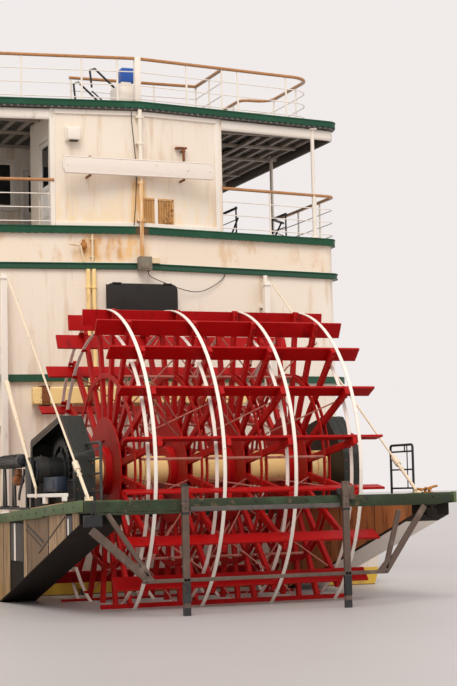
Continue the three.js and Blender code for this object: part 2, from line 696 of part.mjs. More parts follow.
// Aft bulkhead fittings
const boxBeam = { x0: -1250, x1: 1250, z0: 2560, z1: 2745, deep: 150 };
place('box_beam', slab([
  ...[boxBeam.x0, 0, boxBeam.x1].map((x) => [x, bulkheadY(x, boxBeam.deep)]),
  ...[boxBeam.x1, 0, boxBeam.x0].map((x) => [x, bulkheadY(x, gap)]),
], boxBeam.z0, boxBeam.z1), cream);
const nameBoard = {
  x0: -925, x1: 870, z0: 5107, z1: 5303, notch: 20, y0: bulkhead.apexY - 110, y1: bulkhead.apexY - 78,
};
const boardEnd = (x, inward) => [
  [x + inward, nameBoard.z0], [x + inward, nameBoard.z0 + 28], [x, nameBoard.z0 + 48],
  [x, nameBoard.z1 - 48], [x + inward, nameBoard.z1 - 28], [x + inward, nameBoard.z1],
];
place('name_board', screen([
  ...boardEnd(nameBoard.x1, -nameBoard.notch), ...boardEnd(nameBoard.x0, nameBoard.notch).reverse(),
], nameBoard.y0, nameBoard.y1), white);

// Stern lamp on the edge of the second ceiling, its conduit above, and the cable that hangs from
// it and goes into the edge again
const lamp = { x0: -62, x1: 98, deep: 95, z0: 4045, z1: 4205 };
const lampBack = bulkhead.apexY - decks.ledge.proud - gap;
place('stern_lamp', box(lamp.x0, lamp.x1, lampBack - lamp.deep, lampBack, lamp.z0, lamp.z1), dark);
const pipe = { y: bulkhead.apexY - 52, radius: 24 };
place('centre_pipe', rod(
  at(0, pipe.y, lamp.z1 + gap), at(0, pipe.y, decks.top.top - decks.top.depth - gap), pipe.radius, 12,
), cream);

const cable = { radius: 4.5, sides: 8, steps: 52, exitX: 60, exitIn: 48, endX: 1066, endProud: 12.5 };
// Distance along the cable in plan, and height below the lamp
const cableSag = [
  [0, -0.3], [0, -16], [3, -33], [12, -49], [28, -62], [52, -73], [120, -96], [200, -121],
  [290, -147], [380, -171], [460, -189], [530, -201], [590, -207], [650, -205], [710, -194],
  [770, -174], [830, -147], [885, -117], [935, -86], [975, -56], [1004, -28], [1022, 0],
  [1026, 14], [1026, 20.5],
];

function cableTube() {
  const from = new THREE.Vector2(cable.exitX, lampBack - cable.exitIn);
  const way = new THREE.Vector2(cable.endX, bulkheadY(cable.endX, cable.endProud)).sub(from).normalize();
  const route = new THREE.CatmullRomCurve3(cableSag.map(([s, z]) => at(s * way.x, s * way.y, z)));
  const section = Array.from({ length: cable.sides }, (_, k) => {
    const turn = 2 * Math.PI * k / cable.sides;
    return [cable.radius * Math.cos(turn), cable.radius * Math.sin(turn)];
  });
  return weld(new THREE.ExtrudeGeometry(flatShape(section), { steps: cable.steps, extrudePath: route }))
    .translate(from.x, from.y, lamp.z0);
}
place('lamp_cable', cableTube(), dark);

// Doors
for (const [name, side] of [['port', -1], ['starboard', 1]]) {
  const face = wall.half - wall.thick - 8;
  const x = side < 0 ? [-face, -face + boardingDoor.thick] : [face - boardingDoor.thick, face];
  const reach = boardingDoor.width / 2;
  place(`boarding_door_${name}`, box(
    ...x, boardingDoor.y - reach, boardingDoor.y + reach,
    decks.main.top + 10, decks.main.top + boardingDoor.height,
  ), green);
}
// Each leaf stands just inside the outer face of its wall
const leafSpan = (start) => [start + hinged.play, start + hinged.width - hinged.play];
const leafHeight = (floor) => {
  const low = floor + hinged.sill;
  return [low + hinged.play, low + hinged.height - hinged.play];
};
const leafDepth = (face) => [face, face + hinged.thick];
place('aft_house_door', box(
  ...leafDepth(aftHouse.port + 4), ...leafSpan(aftDoor.y), ...leafHeight(decks.third.top),
), white);
place('pilothouse_door', box(
  ...leafDepth(-pilothouse.half + 4), ...leafSpan(pilotDoor.y), ...leafHeight(decks.top.top),
), wood);
place('cabin_door', box(
  ...leafSpan(cabinDoor.x), ...leafDepth(cabin.aft + 4), ...leafHeight(decks.third.top),
), white);
const frontLeaf = wall.upperFront + wall.thick - hinged.thick - 4;
place('upper_front_door', box(
  ...leafSpan(upperDoor.x), ...leafDepth(frontLeaf), ...leafHeight(decks.second.top),
), white);

// A stair between two strings, modelled along y from its foot at 0 up to its head at -run
function stairBody(width, run, rise) {
  const { string, depth, steps, tread, treadThick } = stair;
  const side = [[0, 0], [-depth, 0], [-run, rise - depth], [-run, rise], [70 - run, rise]];
  const treads = Array.from({ length: steps }, (_, k) => {
    const t = (k + 0.6) / (steps + 0.2);
    const [y, z] = [-60 + t * (120 - run), t * rise];
    return box(10, width - 10, y - tread / 2, y + tread / 2, z - treadThick / 2, z + treadThick / 2);
  });
  return join(plate(side, 0, string), plate(side, width - string, width), treads);
}

const upperWidth = upperStair.y1 - upperStair.y0 - 2 * stair.inset;
const upperFoot = upperStair.x0 + 20 + upperStair.run;
place('companion_stair', stairBody(upperWidth, upperStair.run, decks.top.top - decks.third.top - 10)
  .rotateZ(-Math.PI / 2)
  .translate(upperFoot, upperStair.y1 - stair.inset, decks.third.top + gap), grey);
const lowerWidth = lowerStair.x1 - lowerStair.x0 - 2 * stair.inset;
const lowerFoot = lowerStair.y0 + 20 + lowerStair.run;
place('lower_stair', stairBody(lowerWidth, lowerStair.run, decks.third.top - decks.second.top - 10)
  .translate(lowerStair.x0 + stair.inset, lowerFoot, decks.second.top + gap), grey);

// Gate on the starboard arm
const gate = { x: 1790, aft: axle.y - 1200, length: 500, height: 510, tube: 26 };
const gateFoot = armTop(gate.aft) + 12;
const gateEnds = [gate.aft, gate.aft + gate.length];
const gateBays = [0, 1, 2].map((k) => {
  const step = (gate.height - gate.tube) / 3;
  const low = gateFoot + gate.tube + k * step;
  const [aft, ahead] = [gateEnds[0] + gate.tube, gateEnds[1] - gate.tube];
  return box(gate.x - 50, gate.x + 100, aft, ahead, low, low + step - gate.tube);
});
place('arm_gate', cut(
  box(gate.x, gate.x + gate.tube, ...gateEnds, gateFoot, gateFoot + gate.height), gateBays,
), dark);

// Rudders under the stern, ahead of the wheel
for (const [name, side] of [['port', -1], ['starboard', 1]]) {
  const x = side * rudder.x;
  place(`rudder_${name}`, join(
    rod(at(x, rudder.y, rudder.low), at(x, rudder.y, rudder.lugZ - gap), rudder.stock, 12),
    box(x - 15, x + 15, rudder.y - rudder.aft, rudder.y + rudder.fore, rudder.low, rudder.high),
  ), grey);
}

// Paddle wheel
const bucketAngle = (k) => THREE.MathUtils.degToRad(wheel.firstBucketDeg + k * 360 / wheel.buckets);
// A point at a radius and angle from the top towards the stern, and off the spoke's centre line
function polar(radius, angle, off = 0) {
  return [
    axle.y - Math.sin(angle) * radius - Math.cos(angle) * off,
    axle.z + Math.cos(angle) * radius - Math.sin(angle) * off,
  ];
}

const sprocket = (side) => drum(side * wheel.sprocketX - wheel.sprocketThick / 2,
  side * wheel.sprocketX + wheel.sprocketThick / 2, axle.y, axle.z, wheel.sprocketRadius);
place('wheel_shaft', join(
  drum(-wheel.shaftHalf, wheel.shaftHalf, axle.y, axle.z, wheel.shaftRadius), sprocket(-1), sprocket(1),
), cream);

// One frame: hub, arms and two rings cut as one plate, with a hole for the shaft. Each arm lies
// against the aft face of its bucket.
const armOffset = (wheel.armWidth + wheel.bucketThick) / 2 + gap;
function framePlate(x) {
  const half = wheel.armWidth / 2;
  const step = 2 * Math.PI / wheel.buckets;
  const rim = [];
  const holes = [];
  const bays = [
    [wheel.hubRadius, wheel.ringRadius - wheel.ringDepth / 2],
    [wheel.ringRadius + wheel.ringDepth / 2, wheel.innerHoop - wheel.hoopDepth / 2],
  ];
  for (let k = 0; k < wheel.buckets; k += 1) {
    const angle = bucketAngle(k) + armOffset / wheel.radius;
    const outer = wheel.innerHoop + wheel.hoopDepth / 2;
    rim.push(polar(outer, angle, -half), polar(wheel.armTip, angle, -half));
    rim.push(polar(wheel.armTip, angle, half), polar(outer, angle, half));
    for (const [near, far] of bays) {
      holes.push([
        polar(near, angle, half), polar(far, angle, half),
        polar(far, angle + step, -half), polar(near, angle + step, -half),
      ]);
    }
  }
  const bore = Array.from({ length: 16 }, (_, k) => polar(wheel.shaftRadius + 3, k * Math.PI / 8));
  return plate(rim, x - wheel.armThick / 2, x + wheel.armThick / 2, [...holes, bore]);
}
wheel.frames.forEach((x, i) => place(`wheel_frame_${i + 1}`, framePlate(x), red));

// Buckets and the flat hoops outside the frames that tie their outer edges
function paddleReel() {
  const boards = Array.from({ length: wheel.buckets }, (_, k) => {
    const angle = bucketAngle(k) + armOffset / wheel.radius;
    const [y, z] = polar(wheel.radius - wheel.bucketDepth / 2, angle, -armOffset);
    const board = weld(new THREE.BoxGeometry(2 * wheel.halfLength, wheel.bucketThick, wheel.bucketDepth));
    return board.rotateX(angle).translate(0, y, z);
  });
  const circle = (radius) => Array.from({ length: wheel.buckets }, (_, k) => polar(radius, bucketAngle(k)));
  const hoops = wheel.frames.map((x) => {
    const middle = x + Math.sign(x) * ((wheel.armThick + wheel.hoopWide) / 2 + wheel.hoopGap);
    return plate(circle(wheel.radius + wheel.hoopThick - 5), middle - wheel.hoopWide / 2,
      middle + wheel.hoopWide / 2, [circle(wheel.radius - 5)]);
  });
  return join(boards, hoops);
}
place('wheel_buckets', paddleReel(), red);

export default group;
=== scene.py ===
import json
import math
import random
import bpy
import bmesh
from mathutils import Matrix, Vector

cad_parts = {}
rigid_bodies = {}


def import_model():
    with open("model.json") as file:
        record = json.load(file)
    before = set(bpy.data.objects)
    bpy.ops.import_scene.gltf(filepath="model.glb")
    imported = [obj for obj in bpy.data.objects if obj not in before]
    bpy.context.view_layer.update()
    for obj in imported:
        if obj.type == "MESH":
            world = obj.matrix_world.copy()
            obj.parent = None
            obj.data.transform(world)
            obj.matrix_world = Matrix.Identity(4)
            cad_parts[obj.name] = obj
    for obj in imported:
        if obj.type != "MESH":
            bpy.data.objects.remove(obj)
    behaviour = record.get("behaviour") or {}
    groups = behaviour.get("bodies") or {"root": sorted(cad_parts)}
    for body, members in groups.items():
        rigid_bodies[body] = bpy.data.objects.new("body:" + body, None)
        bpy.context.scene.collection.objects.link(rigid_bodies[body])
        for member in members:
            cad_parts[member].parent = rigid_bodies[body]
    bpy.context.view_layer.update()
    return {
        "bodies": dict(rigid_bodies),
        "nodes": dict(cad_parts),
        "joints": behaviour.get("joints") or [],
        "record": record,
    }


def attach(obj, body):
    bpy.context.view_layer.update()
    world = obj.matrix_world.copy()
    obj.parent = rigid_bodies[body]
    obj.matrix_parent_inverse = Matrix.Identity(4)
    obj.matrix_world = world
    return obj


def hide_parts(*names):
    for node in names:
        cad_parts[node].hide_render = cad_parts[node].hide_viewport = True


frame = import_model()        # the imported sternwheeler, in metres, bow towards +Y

# The aft bulkhead is a shallow V in plan, and the wheel turns behind it
stern = {
    "apexY": -8.131, "sweep": math.tan(math.radians(7.9)), "axleY": -9.875, "axleZ": 1.8, "waterZ": 0.488
}
deckTop = {"main": 1.375, "second": 2.893, "third": 4.55, "top": 5.971}


def bulkheadY(x, proud=0.0):
    return stern["apexY"] - proud + stern["sweep"] * abs(x)


# Camera, light and floor
camera = {
    "place": (-5.989, -25.792, 1.586), "yaw": 21.69, "pitch": 5.01, "roll": -1.30,
    "lens": 87.7, "sensor": 36, "far": 900,
}


def setCamera():
    yaw, pitch, roll = (math.radians(camera[k]) for k in ("yaw", "pitch", "roll"))
    ahead = Vector((math.sin(yaw) * math.cos(pitch), math.cos(yaw) * math.cos(pitch), math.sin(pitch)))
    side = ahead.cross(Vector((0, 0, 1))).normalized()
    up = side.cross(ahead)
    right = side * math.cos(roll) + up * math.sin(roll)
    upright = right.cross(ahead)
    data = bpy.data.cameras.new("photoCamera")
    data.lens = camera["lens"]
    data.sensor_width = camera["sensor"]
    data.clip_end = camera["far"]
    eye = bpy.data.objects.new("photoCamera", data)
    facing = Matrix((right, upright, -ahead)).transposed().to_4x4()
    eye.matrix_world = Matrix.Translation(camera["place"]) @ facing
    bpy.context.collection.objects.link(eye)
    bpy.context.scene.camera = eye


setCamera()

light = {
    "sky": (0.955, 0.905, 0.893), "skyPower": 0.92,
    "sun": 1.75, "sunSize": 30, "sunTint": (1.0, 0.94, 0.86), "sunAim": (0.34, 0.72, -0.98),
    "fill": 0.22, "fillSize": 60, "fillTint": (0.92, 0.95, 1.0), "fillAim": (-0.75, 0.55, -0.35),
}


def addSun(name, power, color, aim, size):
    data = bpy.data.lights.new(name, "SUN")
    data.energy = power
    data.color = color
    data.angle = math.radians(size)
    lamp = bpy.data.objects.new(name, data)
    lamp.rotation_euler = Vector(aim).to_track_quat("-Z", "Y").to_euler()
    bpy.context.collection.objects.link(lamp)


def setLight():
    world = bpy.data.worlds.new("overcast")
    world.use_nodes = True
    back = world.node_tree.nodes["Background"]
    back.inputs["Color"].default_value = (*light["sky"], 1)
    back.inputs["Strength"].default_value = light["skyPower"]
    bpy.context.scene.world = world
    for name in ("sun", "fill"):
        addSun(name, *(light[name + part] for part in ("", "Tint", "Aim", "Size")))
    view = bpy.context.scene.view_settings
    view.view_transform = "Standard"
    view.look = "None"
    view.exposure = 0.0


setLight()
print("camera and light set")

# Mesh helpers
axisX, axisY, axisZ = Vector((1, 0, 0)), Vector((0, 1, 0)), Vector((0, 0, 1))


def at(*place):
    return Matrix.Translation(place)


def turnX(degrees):
    return Matrix.Rotation(math.radians(degrees), 4, "X")


def meshFrom(bm):
    bm.normal_update()
    mesh = bpy.data.meshes.new("shape")
    bm.to_mesh(mesh)
    bm.free()
    return mesh


def stamp(bm, mesh, matrix):
    # a copy of a small shape, put in place
    copy = mesh.copy()
    copy.transform(matrix)
    bm.from_mesh(copy)
    bpy.data.meshes.remove(copy)


def bevelled(bm, edge, rounds=2):
    if edge:
        bmesh.ops.bevel(
            bm, geom=bm.edges[:], offset=edge, segments=rounds, affect="EDGES", profile=0.5, material=-1
        )
    return meshFrom(bm)


def box(low, high, edge=0.0, rounds=1):
    bm = bmesh.new()
    size = [b - a for a, b in zip(low, high)]
    middle = [(a + b) / 2 for a, b in zip(low, high)]
    bmesh.ops.create_cube(bm, size=1, matrix=Matrix.Translation(middle) @ Matrix.Diagonal((*size, 1)))
    return bevelled(bm, min(edge, 0.45 * min(size)), rounds)


def between(a, b, deepWay=axisY):
    # the frame halfway from a to b, with its Z along them
    a, b = Vector(a), Vector(b)
    way = (b - a).normalized()
    wide = deepWay.cross(way).normalized()
    deep = way.cross(wide)
    matrix = Matrix((wide, deep, way)).transposed().to_4x4()
    matrix.translation = (a + b) / 2
    return matrix, (b - a).length


def bar(a, b, wide, deep, edge=0.003, deepWay=axisY):
    matrix, length = between(a, b, deepWay)
    mesh = box((-wide / 2, -deep / 2, -length / 2), (wide / 2, deep / 2, length / 2), edge)
    mesh.transform(matrix)
    return mesh


def rod(a, b, radius, sides=12):
    way = (Vector(b) - Vector(a)).normalized()
    matrix, length = between(a, b, axisY if abs(way.y) < 0.9 else axisZ)
    bm = bmesh.new()
    bmesh.ops.create_cone(
        bm, cap_ends=True, segments=sides, radius1=radius, radius2=radius, depth=length, matrix=matrix
    )
    return meshFrom(bm)


def spun(points, centre, axis, steps=48, closedProfile=True):
    bm = bmesh.new()
    verts = [bm.verts.new(p) for p in points]
    edges = [bm.edges.new(pair) for pair in zip(verts, verts[1:])]
    if closedProfile:
        edges.append(bm.edges.new((verts[-1], verts[0])))
    bmesh.ops.spin(bm, geom=verts + edges, cent=centre, axis=axis, dvec=(0, 0, 0),
                   angle=2 * math.pi, steps=steps, use_merge=True)
    bmesh.ops.remove_doubles(bm, verts=bm.verts[:], dist=1e-5)
    bmesh.ops.recalc_face_normals(bm, faces=bm.faces[:])
    return meshFrom(bm)


def hoop(x0, x1, inner, outer, centre, edge=0.002, steps=120):
    # a ring across the boat, with its section's corners cut off
    section = [(x0 + edge, inner), (x1 - edge, inner), (x1, inner + edge), (x1, outer - edge),
               (x1 - edge, outer), (x0 + edge, outer), (x0, outer - edge), (x0, inner + edge)]
    points = [(x, centre[1], centre[2] + r) for x, r in section]
    return spun(points, centre, axisX, steps)


def turned(profile, place, steps=32, axis=axisZ):
    # profile of (radius, height) pairs that starts and ends on the axis
    mesh = spun([(r, 0, h) for r, h in profile], (0, 0, 0), axisZ, steps, closedProfile=False)
    turn = axisZ.rotation_difference(axis).to_matrix().to_4x4()
    mesh.transform(Matrix.Translation(place) @ turn)
    return mesh


def plate(points, depth, way, edge=0.0, rounds=2):
    # a flat outline given its thickness
    bm = bmesh.new()
    face = bm.faces.new([bm.verts.new(p) for p in points])
    made = bmesh.ops.extrude_face_region(bm, geom=[face])
    moved = [v for v in made["geom"] if isinstance(v, bmesh.types.BMVert)]
    bmesh.ops.translate(bm, verts=moved, vec=way * depth)
    bmesh.ops.recalc_face_normals(bm, faces=bm.faces[:])
    return bevelled(bm, edge, rounds)


def bridge(bm, a, b):
    for k in range(len(a)):
        bm.faces.new((a[k], a[(k + 1) % len(a)], b[(k + 1) % len(a)], b[k]))


def sweep(bm, path, section, closed=False):
    # carries a section (side, up) along a line of points, mitred where the line turns
    points = [Vector(p) for p in path]
    count = len(points)
    ways = [
        (points[(i + 1) % count] - points[i]).normalized() for i in range(count if closed else count - 1)
    ]
    rings = []
    for i, point in enumerate(points):
        before = ways[i - 1] if (i or closed) else ways[0]
        after = ways[i] if (i < count - 1 or closed) else ways[-1]
        tangent = (before + after).normalized()
        if not rings:
            side = tangent.cross(axisZ if abs(tangent.z) < 0.9 else axisX).normalized()
        else:
            side = (last.rotation_difference(tangent) @ side).normalized()
        last = tangent
        up = side.cross(tangent)
        bend = after - before
        spread = 1 / max(0.35, before.dot(tangent)) - 1
        ring = []
        for u, v in section:
            off = side * u + up * v
            if bend.length > 1e-6:
                off += bend.normalized() * off.dot(bend.normalized()) * spread
            ring.append(bm.verts.new(point + off))
        rings.append(ring)
    for a, b in zip(rings, rings[1:] + rings[:1] if closed else rings[1:]):
        bridge(bm, a, b)
    if not closed:
        bm.faces.new(rings[0])
        bm.faces.new(rings[-1][::-1])


def pipes(paths, radius=0.0, sides=8, closed=False, wide=None, high=None):
    # tubes along lines of points; with wide and high, a rounded bar instead of a round tube
    sides = 12 if wide else sides
    section = []
    for k in range(sides):
        turn = 2 * math.pi * (k + 0.5) / sides
        c, s = math.cos(turn), math.sin(turn)
        if wide is None:
            section.append((radius * c, radius * s))
        else:
            section.append(
                (wide / 2 * math.copysign(abs(c) ** 0.6, c), high / 2 * math.copysign(abs(s) ** 0.6, s))
            )
    bm = bmesh.new()
    for path in paths:
        sweep(bm, path, section, closed)
    bmesh.ops.recalc_face_normals(bm, faces=bm.faces[:])
    return meshFrom(bm)


def arcCorners(corners, steps=6):
    # corners as (x, y, radius), with the round ones drawn as arcs
    points = []
    for i, corner in enumerate(corners):
        here = Vector(corner[:2])
        radius = corner[2] if len(corner) > 2 else 0
        if not radius:
            points.append(here)
            continue
        back = (Vector(corners[i - 1][:2]) - here).normalized()
        on = (Vector(corners[(i + 1) % len(corners)][:2]) - here).normalized()
        half = back.angle(on) / 2
        centre = here + (back + on).normalized() * (radius / math.sin(half))
        start = here + back * (radius / math.tan(half)) - centre
        end = here + on * (radius / math.tan(half)) - centre
        sweep = math.atan2(start.x * end.y - start.y * end.x, start.dot(end))
        for k in range(steps + 1):
            points.append(centre + Matrix.Rotation(sweep * k / steps, 2) @ start)
    return points


def walk(line, spacing, closed=False):
    # even stops along a plan line, as (point, direction)
    ends = list(line) + ([line[0]] if closed else [])
    lengths = [(b - a).length for a, b in zip(ends, ends[1:])]
    total = sum(lengths)
    count = max(1, round(total / spacing))
    stops = []
    for k in range(count if closed else count + 1):
        left, i = total * k / count, 0
        while i < len(lengths) - 1 and left > lengths[i]:
            left -= lengths[i]
            i += 1
        way = (ends[i + 1] - ends[i]).normalized()
        stops.append((ends[i] + way * min(left, lengths[i]), way))
    return stops


def lift(line, z):
    return [(p[0], p[1], z) for p in line]


sharpAngle = math.radians(38)


def piece(name, parts, finish, replaces=(), body="boat"):
    # one finished object from meshes, with its place in its mesh
    bm = bmesh.new()
    for part in parts:
        bm.from_mesh(part)
        bpy.data.meshes.remove(part)
    mesh = bpy.data.meshes.new(name)
    bm.to_mesh(mesh)
    bm.free()
    mesh.polygons.foreach_set("use_smooth", [True] * len(mesh.polygons))
    mesh.set_sharp_from_angle(angle=sharpAngle)
    mesh.materials.append(finishes[finish])
    thing = bpy.data.objects.new(name, mesh)
    bpy.context.collection.objects.link(thing)
    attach(thing, body)
    if replaces:
        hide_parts(*replaces)
    return thing


# Shader helpers
def feed(tree, node, sockets):
    # links another node's output, or sets a plain value
    for key, value in sockets.items():
        if isinstance(value, bpy.types.NodeSocket):
            tree.links.new(value, node.inputs[key])
        else:
            node.inputs[key].default_value = value


def put(tree, kind, sockets=None, **settings):
    node = tree.nodes.new("ShaderNode" + kind)
    for key, value in settings.items():
        setattr(node, key, value)
    feed(tree, node, sockets or {})
    return node


def maths(tree, operation, a, b=0.0, clamp=False):
    return put(tree, "Math", {0: a, 1: b}, operation=operation, use_clamp=clamp).outputs[0]


def times(tree, a, b, clamp=False):
    return maths(tree, "MULTIPLY", a, b, clamp)


def ramped(tree, value, low, high, toLow=0.0, toHigh=1.0, kind="LINEAR"):
    node = put(tree, "MapRange", {"Value": value, "From Min": low, "From Max": high,
                                  "To Min": toLow, "To Max": toHigh}, interpolation_type=kind)
    return node.outputs["Result"]


def blend(tree, amount, first, second):
    # the mix node's colours are its sockets 6 and 7
    first, second = (c if isinstance(c, bpy.types.NodeSocket) else (*c, 1) for c in (first, second))
    return put(tree, "Mix", {0: amount, 6: first, 7: second}, data_type="RGBA").outputs[2]


def shade(color, amount):
    return tuple(min(1, amount * c) for c in color)


def objectPoint(tree):
    return put(tree, "TexCoord").outputs["Object"]


def objectAxes(tree):
    return put(tree, "SeparateXYZ", {0: objectPoint(tree)}).outputs


def bumpFrom(tree, height, strength, distance=0.004):
    return put(tree, "Bump", {"Height": height, "Strength": strength, "Distance": distance}).outputs[0]


def newGroup(name, inputs, outputs):
    group = bpy.data.node_groups.new(name, "ShaderNodeTree")
    for label, value in inputs.items():
        socket = group.interface.new_socket(name=label, in_out="INPUT", socket_type="NodeSocketFloat")
        socket.default_value = value
    for label in outputs:
        group.interface.new_socket(name=label, in_out="OUTPUT", socket_type="NodeSocketFloat")
    return group, group.nodes.new("NodeGroupInput").outputs, group.nodes.new("NodeGroupOutput").inputs


def useGroup(tree, group, **values):
    node = tree.nodes.new("ShaderNodeGroup")
    node.node_tree = group
    feed(tree, node, values)
    return node.outputs


def patchesGroup():
    # soft uneven areas: Scale in patches per metre, Cover from 0 to 1, Soft edge width
    group, source, out = newGroup(
        "patches", {"Scale": 1.0, "Cover": 0.5, "Soft": 0.15, "Seed": 0.0}, ["Mask"]
    )
    offset = put(group, "CombineXYZ", {axis: source["Seed"] for axis in "XYZ"}).outputs[0]
    point = put(group, "VectorMath", {0: objectPoint(group), 1: offset}, operation="ADD").outputs[0]
    noise = put(
        group, "TexNoise", {"Vector": point, "Scale": source["Scale"], "Detail": 7.0, "Roughness": 0.62}
    )
    edge = maths(group, "SUBTRACT", 1.0, source["Cover"])
    level = ramped(group, edge, 0, 1, 0.28, 0.72)
    top = maths(group, "ADD", level, source["Soft"])
    group.links.new(ramped(group, noise.outputs["Fac"], level, top, kind="SMOOTHSTEP"), out["Mask"])
    return group


def streaksGroup():
    # runs that hang down: Fine across, Length down in metres, Cover from 0 to 1
    group, source, out = newGroup(
        "streaks", {"Fine": 14.0, "Length": 0.6, "Cover": 0.35, "Seed": 0.0}, ["Mask"]
    )
    x, y, z = objectAxes(group)
    down = maths(group, "DIVIDE", z, source["Length"])
    x = times(group, x, source["Fine"])
    y = times(group, y, source["Fine"])
    point = put(group, "CombineXYZ", {0: maths(group, "ADD", x, source["Seed"]), 1: y, 2: down})
    runs = put(
        group, "TexNoise", {"Vector": point.outputs[0], "Scale": 1.0, "Detail": 5.0, "Roughness": 0.6}
    )
    wide = put(group, "TexNoise", {"Vector": objectPoint(group), "Scale": 1.1, "Detail": 3.0})
    both = maths(
        group, "ADD", times(group, runs.outputs["Fac"], 0.72), times(group, wide.outputs["Fac"], 0.28)
    )
    edge = maths(group, "SUBTRACT", 1.0, source["Cover"])
    level = ramped(group, edge, 0, 1, 0.34, 0.66)
    group.links.new(
        ramped(group, both, level, maths(group, "ADD", level, 0.12), kind="SMOOTHSTEP"), out["Mask"]
    )
    return group


def chipsGroup():
    # small chips and pits, with a height for the bump
    group, source, out = newGroup("chips", {"Scale": 40.0, "Cover": 0.12, "Seed": 0.0}, ["Mask", "Height"])
    here = objectPoint(group)
    noise = put(
        group, "TexNoise", {"Vector": here, "Scale": source["Scale"], "Detail": 4.0, "Roughness": 0.7}
    )
    large = put(
        group, "TexNoise", {"Vector": here, "Scale": times(group, source["Scale"], 0.12), "Detail": 3.0}
    )
    both = maths(
        group, "ADD", times(group, noise.outputs["Fac"], 0.55), times(group, large.outputs["Fac"], 0.45)
    )
    level = ramped(group, maths(group, "SUBTRACT", 1.0, source["Cover"]), 0, 1, 0.38, 0.66)
    mask = ramped(group, both, level, maths(group, "ADD", level, 0.03), kind="SMOOTHSTEP")
    group.links.new(mask, out["Mask"])
    group.links.new(maths(group, "SUBTRACT", 1.0, mask), out["Height"])
    return group


def grainGroup():
    # wood grain, which runs along the axis that is stretched least
    group, source, out = newGroup(
        "grain", {"AcrossX": 1.0, "AcrossY": 1.0, "AcrossZ": 1.0, "Scale": 60.0}, ["Tone", "Height"]
    )
    stretch = put(group, "CombineXYZ", {0: source["AcrossX"], 1: source["AcrossY"], 2: source["AcrossZ"]})
    point = put(group, "VectorMath", {0: objectPoint(group), 1: stretch.outputs[0]}, operation="MULTIPLY")
    noise = put(group, "TexNoise", {
        "Vector": point.outputs[0], "Scale": source["Scale"], "Detail": 6.0, "Roughness": 0.65,
        "Distortion": 0.25,
    })
    group.links.new(ramped(group, noise.outputs["Fac"], 0.3, 0.7), out["Tone"])
    group.links.new(noise.outputs["Fac"], out["Height"])
    return group


def edgesGroup():
    # worn edges, from how far a rounded normal turns from the real one
    group, source, out = newGroup("edges", {"Radius": 0.006, "Amount": 1.0}, ["Mask"])
    rounded = put(group, "Bevel", {"Radius": source["Radius"]}, samples=4)
    flat = put(group, "NewGeometry").outputs["Normal"]
    same = put(
        group, "VectorMath", {0: rounded.outputs[0], 1: flat}, operation="DOT_PRODUCT"
    ).outputs["Value"]
    turnedAway = ramped(group, same, 0.97, 0.75)
    rough = put(group, "TexNoise", {"Vector": objectPoint(group), "Scale": 28.0, "Detail": 4.0})
    broken = ramped(group, rough.outputs["Fac"], 0.42, 0.56)
    group.links.new(times(group, times(group, turnedAway, broken), source["Amount"], True), out["Mask"])
    return group


patches, streaks, chips = patchesGroup(), streaksGroup(), chipsGroup()
grain, edges = grainGroup(), edgesGroup()


def patchy(tree, scale, cover=0.5, soft=0.3, seed=0.0):
    return useGroup(tree, patches, Scale=scale, Cover=cover, Soft=soft, Seed=seed)["Mask"]


def streaky(tree, fine, length, cover, seed=0.0):
    return useGroup(tree, streaks, Fine=fine, Length=length, Cover=cover, Seed=seed)["Mask"]


def newMaterial(name):
    finish = bpy.data.materials.new(name)
    finish.use_nodes = True
    tree = finish.node_tree
    return finish, tree, tree.nodes["Principled BSDF"]


def paint(
    name, color, faded, dirt, rust, rough=(0.42, 0.62), fade=0.5, fadeScale=1.4, run=0.3, runFine=14.0,
    runLength=0.7, chip=0.1, chipScale=34.0, rustRun=0.0, wear=0.0, wearColor=None, bump=0.12, seed=0.0,
    metal=0.0, grime=0.55, spec=0.4, stains=(),
):
    # paint that has faded in patches, with dirt running down, rust streaks, chips and worn edges
    finish, tree, shader = newMaterial(name)
    soft = patchy(tree, fadeScale, fade, 0.28, seed)
    tone = blend(tree, soft, color, faded)
    runs = streaky(tree, runFine, runLength, run, seed)
    tone = blend(tree, times(tree, runs, grime), tone, dirt)
    if rustRun:
        stain = streaky(tree, runFine * 0.55, runLength * 1.3, rustRun, seed + 7.3)
        where = patchy(tree, fadeScale * 0.8, 0.45, 0.2, seed + 3.1)
        tone = blend(tree, times(tree, times(tree, stain, where), 0.8), tone, rust)
    for (x0, x1), (z0, z1), color, amount, breadth in stains:
        # a stain with soft sides round one place on the boat
        here = objectAxes(tree)
        across = times(
            tree, ramped(tree, here[0], x0, x0 + breadth), ramped(tree, here[0], x1, x1 - breadth)
        )
        tall = times(tree, ramped(tree, here[2], z0, z0 + breadth), ramped(tree, here[2], z1, z1 - breadth))
        broken = streaky(tree, runFine * 1.6, 0.25, 0.75, seed + x0)
        spread = times(tree, times(tree, across, tall), ramped(tree, broken, 0, 1, 0.25, 1))
        tone = blend(tree, times(tree, spread, amount), tone, color)
    spots = useGroup(tree, chips, Scale=chipScale, Cover=chip, Seed=seed)
    tone = blend(tree, times(tree, spots["Mask"], 0.85), tone, rust)
    if wear:
        worn = useGroup(tree, edges, Radius=0.007, Amount=wear)["Mask"]
        tone = blend(tree, worn, tone, wearColor or rust)
    fine = put(tree, "TexNoise", {"Vector": objectPoint(tree), "Scale": 90.0, "Detail": 3.0}).outputs["Fac"]
    sheen = maths(tree, "ADD", times(tree, soft, 0.6), times(tree, fine, 0.4))
    height = maths(tree, "ADD", times(tree, fine, 0.25), times(tree, spots["Height"], 0.75))
    feed(tree, shader, {
        "Base Color": tone, "Roughness": ramped(tree, sheen, 0, 1, *rough), "Metallic": metal,
        "Specular IOR Level": spec, "Normal": bumpFrom(tree, height, bump),
    })
    return finish


